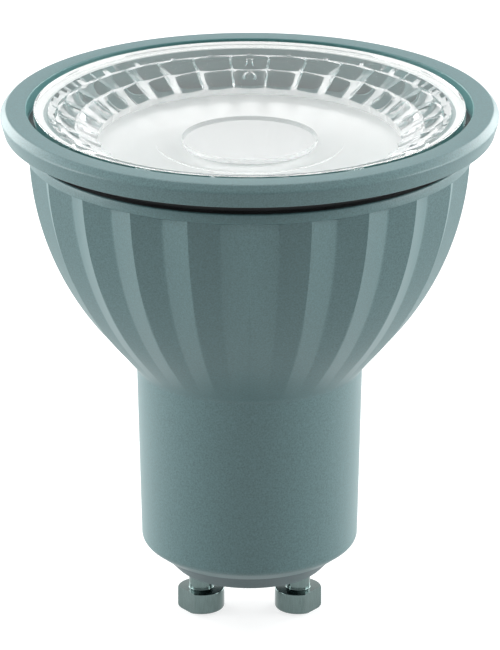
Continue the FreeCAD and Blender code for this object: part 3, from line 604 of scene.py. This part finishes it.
def housing_rows(sizes):
    """Outline of the housing's section: base, fluted bowl, rim, and back down the inside."""
    crest_line, touch = bowl_line(sizes)
    inset = sizes.flute_depth + INNER_WALL
    inner_line, inner_touch = bowl_line(sizes, inset)
    rim_top = HOUSING_HIGH.z
    rim_bottom = rim_top - sizes.rim_height
    step_bottom = rim_bottom - sizes.step_height
    foot = HOUSING_LOW.z
    shoulder = foot + sizes.cone_height
    over_junction = sizes.junction_height + 3 * JUNCTION_BLEND
    base = rounded([
        (sizes.foot_radius, foot, FOOT_ROUNDING),
        (sizes.shoulder_radius, shoulder, sizes.shoulder_fillet),
        (sizes.junction_radius, sizes.junction_height, JUNCTION_BLEND),
        (crest_line(over_junction), over_junction),
        (0.0, over_junction),
        (0.0, foot),
    ])
    rows = base[:3 * (ARC_STEPS + 1)]
    flute_foot = rows[-1][1]
    fluted_height = rim_bottom - sizes.junction_height
    valley_lip = sizes.rim_radius - RIM_PROUD - sizes.flute_depth - STEP_TUCK

    def depth_at(z):
        share = max(0.0, (z - sizes.junction_height) / fluted_height)
        return sizes.flute_depth * math.sin(math.pi / 2 * share)

    for step in range(1, FLUTE_ROWS + 1):
        share = step / FLUTE_ROWS
        high = flute_foot + (rim_bottom - flute_foot) * share
        low = flute_foot + (step_bottom - flute_foot) * share
        flat = min(1.0, depth_at(high) / sizes.flute_depth / FLAT_SHARE)
        rows.append((crest_line(high), high, crest_line(low) - depth_at(low), low, flat))
    rows.append((sizes.rim_radius, rim_bottom, valley_lip, step_bottom, 0.0))
    rim = rounded([
        (sizes.rim_radius, rim_bottom),
        (sizes.rim_radius, rim_top, RIM_ROUNDING),
        (sizes.rim_radius - RIM_WALL, rim_top, RIM_BORE_ROUNDING),
        (sizes.rim_radius - RIM_WALL, rim_top - RIM_BORE_DEPTH),
    ], 3)
    rows += rim
    mouth = BEZEL_LOW.z
    slope_foot = mouth - MOUTH_SLOPE
    rows += [(sizes.rim_radius - RIM_WALL, mouth), (inner_line(slope_foot), slope_foot)]
    for step in range(1, INNER_ROWS):
        z = slope_foot + (inner_touch.y - slope_foot) * step / INNER_ROWS
        rows.append((inner_line(z), z))
    bore = sizes.shoulder_radius - sizes.wall
    bore_top = inner_touch.y - (inner_touch.x - bore) / math.tan(sizes.cone_angle)
    lip = foot + CAP_LIP
    rows += [tuple(inner_touch), (bore, bore_top), (bore, lip)]
    return rows + [(CAP_RECESS_RADIUS, lip), (CAP_RECESS_RADIUS, foot)]


def bezel_rows(sizes):
    """Outline of the front ring's section."""
    top = BEZEL_HIGH.z
    bottom = top - sizes.side_height
    shelf = bottom + sizes.shelf
    corners = [
        (sizes.skirt_outer, bottom),
        (sizes.bottom_radius, bottom, UNDERSIDE_ROUNDING),
        (sizes.face_radius, top - sizes.chamfer_height, BEVEL_FOOT_ROUNDING),
        (sizes.face_radius - sizes.chamfer_width, top, BEVEL_HEAD_ROUNDING),
        (sizes.opening_radius, top, sizes.opening_rounding),
        (sizes.opening_radius, shelf),
        (sizes.skirt_inner, shelf),
        (sizes.skirt_inner, BEZEL_LOW.z),
        (sizes.skirt_outer, BEZEL_LOW.z),
    ]
    return rounded(corners, 8)


def lens_rows(sizes):
    """Outline of the optic's section: well, foot, two rows of pillow facets, neck, flange, top."""
    top, bottom = LENS_HIGH.z, LENS_LOW.z + AIR_GAP
    flange = SEAL_TOP + AIR_GAP
    half_pitch = math.pi / sizes.columns

    def facet_row(radius, z, share):
        """One row across the facets; share 0 gives it the whole scallop and share 1 none."""
        side = radius * math.sin(half_pitch)
        sag = sizes.facet_roundness - math.sqrt(sizes.facet_roundness**2 - side**2)
        lift = sizes.scallop * (1.0 - share)
        return (radius, z, math.hypot(radius - sag, side) - sizes.groove_depth, z + lift, 0.0)

    ceiling, ledge = LENS_LOW.z + sizes.well_height, LENS_LOW.z + sizes.step_height
    rows = [(0.0, ceiling), (sizes.well_radius, ceiling), (sizes.well_radius, ledge)]
    rows += [(sizes.step_radius, ledge), (sizes.step_radius, bottom), (sizes.foot_radius, bottom)]
    marks = [(radius, top - depth) for radius, depth in FACET_MARKS]
    for low, high in zip(marks, marks[1:]):
        under = (high[0], high[1] - sizes.land_height)
        fade = 1.0 if high == marks[-1] else 0.0
        for step, (radius, z) in enumerate(arc_points(low, under, sizes.facet_bulge, PILLOW_ROWS)):
            rows.append(facet_row(radius, z, fade * step / PILLOW_ROWS))
        rows.append(facet_row(*high, fade))
    neck = (sizes.neck_radius, flange)
    edge = rounded([neck, (sizes.radius, flange), (sizes.radius, top, LENS_EDGE), (0.0, top)], 4)
    return rows + [marks[-1], neck] + edge[1:-1] + [(edge[-2][0] - LENS_EDGE, top), edge[-1]]


def finished(piece, slot, *nodes):
    """Puts a piece on the lamp's body and hides the CAD nodes that it stands for; the slot is not used."""
    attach(piece, ROOT)
    if nodes:
        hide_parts(*nodes)
    return piece


def new_material(name):
    """An empty node material: gives it, its tree and its Principled shader."""
    material = bpy.data.materials.new(name)
    material.use_nodes = True
    shader = material.node_tree.nodes["Principled BSDF"]
    return material, material.node_tree, shader


def grain(tree, scale, detail=2.0, stretch=None):
    """Noise in the object's own coordinates; scale is in grains per metre."""
    place = tree.nodes.new("ShaderNodeTexCoord").outputs["Object"]
    if stretch:
        mapping = tree.nodes.new("ShaderNodeMapping")
        mapping.inputs["Scale"].default_value = stretch
        tree.links.new(place, mapping.inputs["Vector"])
        place = mapping.outputs[0]
    noise = tree.nodes.new("ShaderNodeTexNoise")
    noise.inputs["Scale"].default_value = scale
    noise.inputs["Detail"].default_value = detail
    tree.links.new(place, noise.inputs["Vector"])
    return noise.outputs["Fac"]


def shaded(tree, value, dark, light, low=0.3, high=0.7):
    """Colour ramp between two colours over a value."""
    ramp = tree.nodes.new("ShaderNodeValToRGB")
    ramp.color_ramp.elements[0].position = low
    ramp.color_ramp.elements[1].position = high
    ramp.color_ramp.elements[0].color = (*dark, 1.0)
    ramp.color_ramp.elements[1].color = (*light, 1.0)
    tree.links.new(value, ramp.inputs["Fac"])
    return ramp.outputs["Color"]


def ranged(tree, value, low, high, start=0.3, end=0.7):
    """A value spread between two numbers."""
    spread = tree.nodes.new("ShaderNodeMapRange")
    spread.inputs["From Min"].default_value = start
    spread.inputs["From Max"].default_value = end
    spread.inputs["To Min"].default_value = low
    spread.inputs["To Max"].default_value = high
    tree.links.new(value, spread.inputs["Value"])
    return spread.outputs["Result"]


def bumped(tree, shader, value, distance):
    """Gives a shader the relief of a value, distance high."""
    bump = tree.nodes.new("ShaderNodeBump")
    bump.inputs["Strength"].default_value = BUMP_STRENGTH
    bump.inputs["Distance"].default_value = distance
    tree.links.new(value, bump.inputs["Height"])
    tree.links.new(bump.outputs["Normal"], shader.inputs["Normal"])


def off_axis(tree, place):
    """Vector from the lamp's axis to a place, and its length."""
    flat = tree.nodes.new("ShaderNodeVectorMath")
    flat.operation = "MULTIPLY"
    flat.inputs[1].default_value = (1.0, 1.0, 0.0)
    tree.links.new(place, flat.inputs[0])
    radial = tree.nodes.new("ShaderNodeVectorMath")
    radial.operation = "LENGTH"
    tree.links.new(flat.outputs[0], radial.inputs[0])
    return flat.outputs[0], Field(tree, radial.outputs["Value"])


def moulded_grey(name, base, roughness, speck, relief, inside=None):
    """Satin plastic with a fine speckled grain.

    With a colour for the inside, walls that face the axis take it as painted shade, and the rim's top,
    which is the floor of the gap under the front ring, is painted near black as shade."""
    material, tree, shader = new_material(name)
    fine = grain(tree, 1 / speck)
    dark = [channel * (1 - SPECKLE) for channel in base]
    light = [channel * (1 + SPECKLE) for channel in base]
    colour = shaded(tree, fine, dark, light)
    if inside:
        place = tree.nodes.new("ShaderNodeTexCoord")
        outward, radius = off_axis(tree, place.outputs["Object"])
        inward = tree.nodes.new("ShaderNodeVectorMath")
        inward.operation = "DOT_PRODUCT"
        tree.links.new(outward, inward.inputs[0])
        tree.links.new(place.outputs["Normal"], inward.inputs[1])
        facing = Field(tree, inward.outputs["Value"])
        split = tree.nodes.new("ShaderNodeSeparateXYZ")
        tree.links.new(place.outputs["Object"], split.inputs[0])
        height = Field(tree, split.outputs["Z"])
        # Painted shade: the floor of the gap under the front ring is coloured near black where shade falls
        painted_gap_shade = radius.math("LESS_THAN", radius, GAP_RADIUS) * radius.math("GREATER_THAN", radius, GAP_BORE)
        painted_gap_shade = painted_gap_shade * height.math("GREATER_THAN", height, HOUSING_HIGH.z - GAP_DEPTH)
        # Painted shade: walls that face the axis take the darker inside colour
        painted_inward_shade = facing.math("LESS_THAN", facing, INWARD)
        for share, other in ((painted_inward_shade, inside), (painted_gap_shade, GAP_SHADE)):
            mix = tree.nodes.new("ShaderNodeMix")
            mix.data_type = "RGBA"
            tree.links.new(share.socket, mix.inputs["Factor"])
            tree.links.new(colour, mix.inputs["A"])
            mix.inputs["B"].default_value = (*other, 1.0)
            colour = mix.outputs["Result"]
    tree.links.new(colour, shader.inputs["Base Color"])
    gloss = ranged(tree, fine, roughness - GLOSS_SPREAD, roughness + GLOSS_SPREAD)
    tree.links.new(gloss, shader.inputs["Roughness"])
    bumped(tree, shader, fine, relief)
    return material


def plain_finish(name, base, roughness, metallic=0.0, grain_size=0.3 * MM, spread=0.06, stretch=None):
    """A finish with a faint mottle and a little uneven gloss."""
    material, tree, shader = new_material(name)
    shader.inputs["Metallic"].default_value = metallic
    mottle = grain(tree, 1 / grain_size, stretch=stretch)
    dark = [channel * (1 - spread) for channel in base]
    light = [min(1.0, channel * (1 + spread)) for channel in base]
    tree.links.new(shaded(tree, mottle, dark, light), shader.inputs["Base Color"])
    gloss = ranged(tree, mottle, roughness * (1 - MOTTLE_GLOSS), roughness * (1 + MOTTLE_GLOSS))
    tree.links.new(gloss, shader.inputs["Roughness"])
    return material


def printed_board(white, border):
    """White print on the middle of the board, and its unprinted grey border."""
    material, tree, shader = new_material("Printed board")
    radius = off_axis(tree, tree.nodes.new("ShaderNodeTexCoord").outputs["Object"])[1]
    edge = ranged(tree, radius.socket, 0.0, 1.0, PRINT_RADIUS, PRINT_RADIUS + PRINT_FADE)
    tree.links.new(shaded(tree, edge, white, border, 0.0, 1.0), shader.inputs["Base Color"])
    shader.inputs["Roughness"].default_value = PRINT_ROUGHNESS
    return material


def background_rays(tree):
    """1 for the rays that see the background: from the camera, off a glossy face or through the lens."""
    rays = tree.nodes.new("ShaderNodeLightPath")
    seen = Field(tree, rays.outputs["Is Camera Ray"])
    mirrored = Field(tree, rays.outputs["Is Glossy Ray"])
    through = Field(tree, rays.outputs["Is Transmission Ray"])
    return seen.math("MAXIMUM", seen.math("MAXIMUM", seen, mirrored), through)


def clear_acrylic(tint):
    """Polished clear plastic, frosted in the well over the light source and under the foot.

    It lets the light that spreads from other surfaces, and the light of the lamps, straight through,
    so that the board under it is lit."""
    material, tree, shader = new_material("Clear acrylic")
    shader.inputs["Transmission Weight"].default_value = 1.0
    shader.inputs["IOR"].default_value = ACRYLIC_IOR
    shader.inputs["Base Color"].default_value = (*tint, 1.0)
    split = tree.nodes.new("ShaderNodeSeparateXYZ")
    tree.links.new(tree.nodes.new("ShaderNodeTexCoord").outputs["Object"], split.inputs[0])
    across, along, height = [Field(tree, split.outputs[axis]) for axis in "XYZ"]
    reach = across * across + along * along
    low = height.math("LESS_THAN", height, LENS_LOW.z + FROST_HEIGHT)
    well = reach.math("LESS_THAN", reach, FROST_RADIUS**2) * low
    frosted = height.math("MAXIMUM", well, height.math("LESS_THAN", height, LENS_LOW.z + FROST_FOOT))
    tree.links.new((frosted * FROST_ROUGHNESS).socket, shader.inputs["Roughness"])
    rays = tree.nodes.new("ShaderNodeLightPath")
    spread = Field(tree, rays.outputs["Is Diffuse Ray"])
    blocked = spread.math("MAXIMUM", spread, Field(tree, rays.outputs["Is Shadow Ray"]))
    tree.links.new((1.0 - blocked).socket, shader.inputs["Alpha"])
    return material


def turned_nickel(base):
    """Nickel plating over fine upright brush marks."""
    material, tree, shader = new_material("Turned nickel")
    shader.inputs["Metallic"].default_value = 1.0
    marks = grain(tree, 1 / BRUSH_MARK, 3.0, BRUSH_STRETCH)
    dark = [channel * 0.86 for channel in base]
    light = [min(1.0, channel * 1.12) for channel in base]
    tree.links.new(shaded(tree, marks, dark, light), shader.inputs["Base Color"])
    tree.links.new(ranged(tree, marks, *BRUSH_ROUGHNESS), shader.inputs["Roughness"])
    bumped(tree, shader, marks, BRUSH_RELIEF)
    return material


class LAMP_OT_housing(bpy.types.Operator):
    """Turns the housing's outline and presses the flutes into its bowl"""

    bl_idname = "lamp.make_housing"
    bl_label = "Fluted housing"

    def execute(self, context):
        sizes = context.scene.lamp_housing
        finishes = context.scene.lamp_finishes
        grey = moulded_grey(
            "Satin grey plastic", finishes.housing_grey, roughness=0.42, speck=0.16 * MM, relief=0.01 * MM,
            inside=finishes.inside_shade_and_border_grey,
        )
        piece = turned_piece(
            "fluted_housing", housing_rows(sizes), grey, waves=sizes.flute_count, steps=WAVE_STEPS,
            crease=FLUTE_CREASE,
        )
        finished(piece, "housing_grey", "housing")
        return {"FINISHED"}


class LAMP_OT_bezel(bpy.types.Operator):
    """Turns the front ring with its bevelled edge, shelf and skirt"""

    bl_idname = "lamp.make_bezel"
    bl_label = "Front ring"

    def execute(self, context):
        grey = bpy.data.materials["Satin grey plastic"]
        piece = turned_piece("front_ring", bezel_rows(context.scene.lamp_bezel), grey, **SMOOTH)
        finished(piece, "housing_grey", "bezel_ring")
        return {"FINISHED"}


class LAMP_OT_lens(bpy.types.Operator):
    """Turns the clear optic with its two rows of pillow facets, and joins the key rib to it"""

    bl_idname = "lamp.make_lens"
    bl_label = "Faceted lens"

    def execute(self, context):
        sizes = context.scene.lamp_lens
        acrylic = clear_acrylic(context.scene.lamp_finishes.lens_tint)
        piece = turned_piece(
            "clear_optic", lens_rows(sizes), acrylic, waves=sizes.columns, steps=WAVE_STEPS, **VALLEY_SHAPE
        )
        self.add_key(piece, sizes)
        finished(piece, "lens_clear", "optic_lens")
        return {"FINISHED"}

    def add_key(self, piece, sizes):
        """Joins the key to the facets at the back: a rib up the upper one, a drop on the lower one."""
        low, notch, high = [Vector((0.0, radius, LENS_HIGH.z - depth)) for radius, depth in FACET_MARKS]
        drop_foot = notch + (low - notch).normalized() * sizes.boss_length
        for foot, head, width, proud, sides in (
            (notch, high, sizes.key_width, sizes.key_proud, RIB_SIDES),
            (drop_foot, notch, sizes.boss_width, sizes.boss_proud, DROP_SIDES),
        ):
            along = (head - foot).normalized()
            outward = along.cross(Vector((1.0, 0.0, 0.0)))
            face = sizes.facet_bulge + proud
            centre = (foot + head) / 2 + outward * (face - KEY_ROOT) / 2
            turn = Matrix((Vector((1.0, 0.0, 0.0)), along, outward)).transposed().to_4x4()
            spread = width / 2 + KEY_ROOT
            reach = 1.0 / math.cos(math.pi / sides)
            shape = Matrix.Diagonal((spread, (head - foot).length / 2 + KEY_ROOT, 1.0, 1.0))
            corner_turn = Matrix.Rotation(math.pi / sides, 4, "Z")
            form = bmesh.new()
            bmesh.ops.create_cone(
                form, cap_ends=True, segments=sides, radius1=reach,
                radius2=reach * (width / 2 - proud) / spread, depth=face + KEY_ROOT,
                matrix=Matrix.Translation(centre) @ turn @ shape @ corner_turn,
            )
            joined_form(piece, form)


class LAMP_OT_pins(bpy.types.Operator):
    """Turns the two contact pins and cuts the flat on each head"""

    bl_idname = "lamp.make_pins"
    bl_label = "Contact pins"

    def execute(self, context):
        sizes = context.scene.lamp_pins
        nickel = turned_nickel(context.scene.lamp_finishes.nickel)
        for name, side in (("left", -1), ("right", 1)):
            self.make_pin(sizes, nickel, name, side)
        return {"FINISHED"}

    def make_pin(self, sizes, nickel, name, side):
        """Turns one pin on the axis, cuts its flat, and moves it to its side."""
        head = sizes.head_radius
        neck_top = CAP_BOTTOM + NECK_IN_CAP
        rows = rounded([
            (0.0, 0.0),
            (head, 0.0, sizes.edge_radius),
            (head, sizes.head_height, HEAD_TOP_ROUNDING),
            (sizes.neck_radius, sizes.head_height, NECK_FILLET),
            (sizes.neck_radius, neck_top),
            (0.0, neck_top),
        ])
        piece = turned_piece("pin_" + name, rows, nickel, **SMOOTH)
        bearing = side * sizes.flat_bearing
        outward = Vector((math.sin(bearing), -math.cos(bearing), 0.0))
        mesh = bmesh.new()
        mesh.from_mesh(piece.data)
        cut = bmesh.ops.bisect_plane(
            mesh, geom=mesh.verts[:] + mesh.edges[:] + mesh.faces[:],
            plane_co=outward * (head - sizes.flat_depth), plane_no=outward, clear_outer=True,
        )
        rim = [item for item in cut["geom_cut"] if isinstance(item, bmesh.types.BMEdge)]
        lid = bmesh.ops.contextual_create(mesh, geom=rim)
        for edge in rim:
            edge.smooth = False
        for face in lid["faces"]:
            face.smooth = False
        bmesh.ops.translate(mesh, verts=mesh.verts[:], vec=(side * sizes.spacing / 2, 0.0, 0.0))
        mesh.to_mesh(piece.data)
        mesh.free()
        finished(piece, "pin_nickel", "contact_pin_" + name)


class LAMP_OT_inside(bpy.types.Operator):
    """Gives the CAD pieces that stay their materials"""

    bl_idname = "lamp.finish_inside"
    bl_label = "Cap, seal and inner parts"

    def execute(self, context):
        finishes = context.scene.lamp_finishes
        made = {
            "cap_grey": moulded_grey(
                "Matte cap plastic", finishes.cap_grey, roughness=0.5, speck=0.2 * MM, relief=0.012 * MM
            ),
            "seal_white": plain_finish("White silicone", finishes.seal_white, 0.5),
            "board_white": printed_board(finishes.board_white, finishes.inside_shade_and_border_grey),
            "diffuser_milky": plain_finish("Milky plastic", (0.95, 0.95, 0.95), 0.35, spread=0.02),
            "emitter_ceramic": plain_finish("White ceramic", (0.86, 0.86, 0.84), 0.4),
            "emitter_gel": plain_finish("Phosphor gel", (0.88, 0.7, 0.22), 0.3),
            "pad_grey": plain_finish("Thermal pad", (0.2, 0.21, 0.23), 0.7),
            "sink_aluminium": plain_finish(
                "Coated aluminium", (0.4, 0.6, 0.6), 0.4, metallic=1.0, grain_size=0.2 * MM, stretch=(1, 1, 0.2)
            ),
            "driver_laminate": plain_finish("Green laminate", (0.03, 0.12, 0.05), 0.4),
            "capacitor_sleeve": plain_finish("Dark sleeve", (0.02, 0.022, 0.028), 0.3),
            "ferrite": plain_finish("Ferrite", (0.03, 0.03, 0.03), 0.6),
            "copper": plain_finish(
                "Enamelled copper", (0.65, 0.27, 0.12), 0.3, metallic=1.0, grain_size=0.2 * MM, spread=0.1,
                stretch=(0.3, 0.3, 2.0),
            ),
            "film_yellow": plain_finish("Yellow film box", (0.7, 0.47, 0.06), 0.35),
            "resistor_body": plain_finish("Resistor enamel", (0.2, 0.3, 0.22), 0.4),
            "package_black": plain_finish("Moulding compound", (0.012, 0.012, 0.013), 0.5),
            "lead_white": plain_finish("White insulation", (0.75, 0.75, 0.72), 0.45),
            "lead_red": plain_finish("Red insulation", (0.38, 0.01, 0.01), 0.4),
            "lead_black": plain_finish("Black insulation", (0.012, 0.012, 0.012), 0.4),
        }
        for part in frame["record"]["subparts"]:
            if part["material_slot"] in made:
                for slot in frame["nodes"][part["node"]].material_slots:
                    slot.material = made[part["material_slot"]]
        return {"FINISHED"}


class LAMP_OT_studio(bpy.types.Operator):
    """Sets up the camera, the pale floor, the soft lights and the world"""

    bl_idname = "lamp.make_studio"
    bl_label = "Studio"

    def execute(self, context):
        scene = context.scene
        studio = scene.lamp_studio
        self.make_camera(scene, studio)
        self.make_floor()
        for name, place, size, power in LIGHTS:
            self.make_light(name, Vector(place), size, power)
        self.make_world(scene)
        scene.view_settings.view_transform = "Standard"
        scene.cycles.max_bounces = LENS_BOUNCES
        scene.cycles.glossy_bounces = LENS_BOUNCES
        scene.cycles.transmission_bounces = LENS_BOUNCES
        return {"FINISHED"}

    def make_camera(self, scene, studio):
        data = bpy.data.cameras.new("camera")
        data.lens = studio.camera_lens
        data.clip_start, data.clip_end = 0.01, 20.0
        camera = bpy.data.objects.new("camera", data)
        camera.location = studio.camera_place
        aim = Vector(studio.camera_aim) - Vector(studio.camera_place)
        camera.rotation_euler = aim.to_track_quat("-Z", "Y").to_euler()
        scene.collection.objects.link(camera)
        scene.camera = camera

    def make_floor(self):
        mesh = bpy.data.meshes.new("floor")
        corners = [(x * FLOOR_HALF, y * FLOOR_HALF, 0.0) for x, y in ((-1, -1), (1, -1), (1, 1), (-1, 1))]
        mesh.from_pydata(corners, [], [(0, 1, 2, 3)])
        floor = bpy.data.objects.new("floor", mesh)
        bpy.context.scene.collection.objects.link(floor)
        material, tree, shader = new_material("Pale floor")
        shader.inputs["Base Color"].default_value = (*FLOOR_GREY, 1.0)
        shader.inputs["Roughness"].default_value = FLOOR_ROUGHNESS
        shader.inputs["Emission Color"].default_value = (1.0, 1.0, 1.0, 1.0)
        glow = background_rays(tree) * FLOOR_GLOW
        tree.links.new(glow.socket, shader.inputs["Emission Strength"])
        mesh.materials.append(material)
        floor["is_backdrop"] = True

    def make_light(self, name, place, size, power):
        data = bpy.data.lights.new(name, "AREA")
        data.shape = "SQUARE"
        data.size = size
        data.energy = power
        light = bpy.data.objects.new(name, data)
        light.location = place
        light.rotation_euler = (LIGHT_AIM - place).to_track_quat("-Z", "Y").to_euler()
        bpy.context.scene.collection.objects.link(light)

    def make_world(self, scene):
        world = bpy.data.worlds.new("studio")
        scene.world = world
        world.use_nodes = True
        tree = world.node_tree
        shade = tree.nodes["Background"]
        place = tree.nodes.new("ShaderNodeTexCoord")
        split = tree.nodes.new("ShaderNodeSeparateXYZ")
        tree.links.new(place.outputs["Generated"], split.inputs[0])
        sideways = Field(tree, split.outputs["X"])
        back = Field(tree, split.outputs["Y"])
        up = Field(tree, split.outputs["Z"])
        around = WORLD_EVEN + WORLD_SIDES * (sideways * sideways) + WORLD_BACK * back.math("MAXIMUM", back, 0.0)
        around = around + WORLD_TOP * up.math("MAXIMUM", up, 0.0)
        around = around.math("MINIMUM", around, 1.0)
        white = background_rays(tree)
        shade.inputs["Color"].default_value = (1.0, 1.0, 1.0, 1.0)
        tree.links.new(around.mixed(1.0, white).socket, shade.inputs["Strength"])


class LAMP_PT_panel(bpy.types.Panel):
    """Sizes, finishes and building steps of the lamp"""

    bl_idname = "LAMP_PT_panel"
    bl_label = "Spotlight lamp"
    bl_space_type = "VIEW_3D"
    bl_region_type = "UI"
    bl_category = "Lamp"

    def draw(self, context):
        layout = self.layout
        for name, kind in GROUPS:
            box = layout.box()
            box.label(text=kind.__doc__)
            group = getattr(context.scene, name)
            for key in kind.__annotations__:
                box.prop(group, key)
        for step in STEPS:
            layout.operator(step.bl_idname)


GROUPS = (
    ("lamp_housing", HousingSizes),
    ("lamp_bezel", BezelSizes),
    ("lamp_lens", LensSizes),
    ("lamp_pins", PinSizes),
    ("lamp_finishes", LampFinishes),
    ("lamp_studio", StudioSettings),
)
STEPS = (LAMP_OT_studio, LAMP_OT_housing, LAMP_OT_bezel, LAMP_OT_lens, LAMP_OT_pins, LAMP_OT_inside)


def register():
    for name, kind in GROUPS:
        bpy.utils.register_class(kind)
        setattr(bpy.types.Scene, name, PointerProperty(type=kind))
    for kind in STEPS + (LAMP_PT_panel,):
        bpy.utils.register_class(kind)


def unregister():
    for kind in (LAMP_PT_panel,) + STEPS[::-1]:
        bpy.utils.unregister_class(kind)
    for name, kind in GROUPS[::-1]:
        delattr(bpy.types.Scene, name)
        bpy.utils.unregister_class(kind)


def main():
    register()
    bpy.ops.lamp.make_studio()
    bpy.ops.lamp.make_housing()
    bpy.ops.lamp.make_bezel()
    bpy.ops.lamp.make_lens()
    bpy.ops.lamp.make_pins()
    bpy.ops.lamp.finish_inside()
    boxes = {"cad": CAD_BOX, "visual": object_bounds()}
    boxes = {name: [list(corner) for corner in box] for name, box in boxes.items()}


if __name__ == "__main__":
    main()
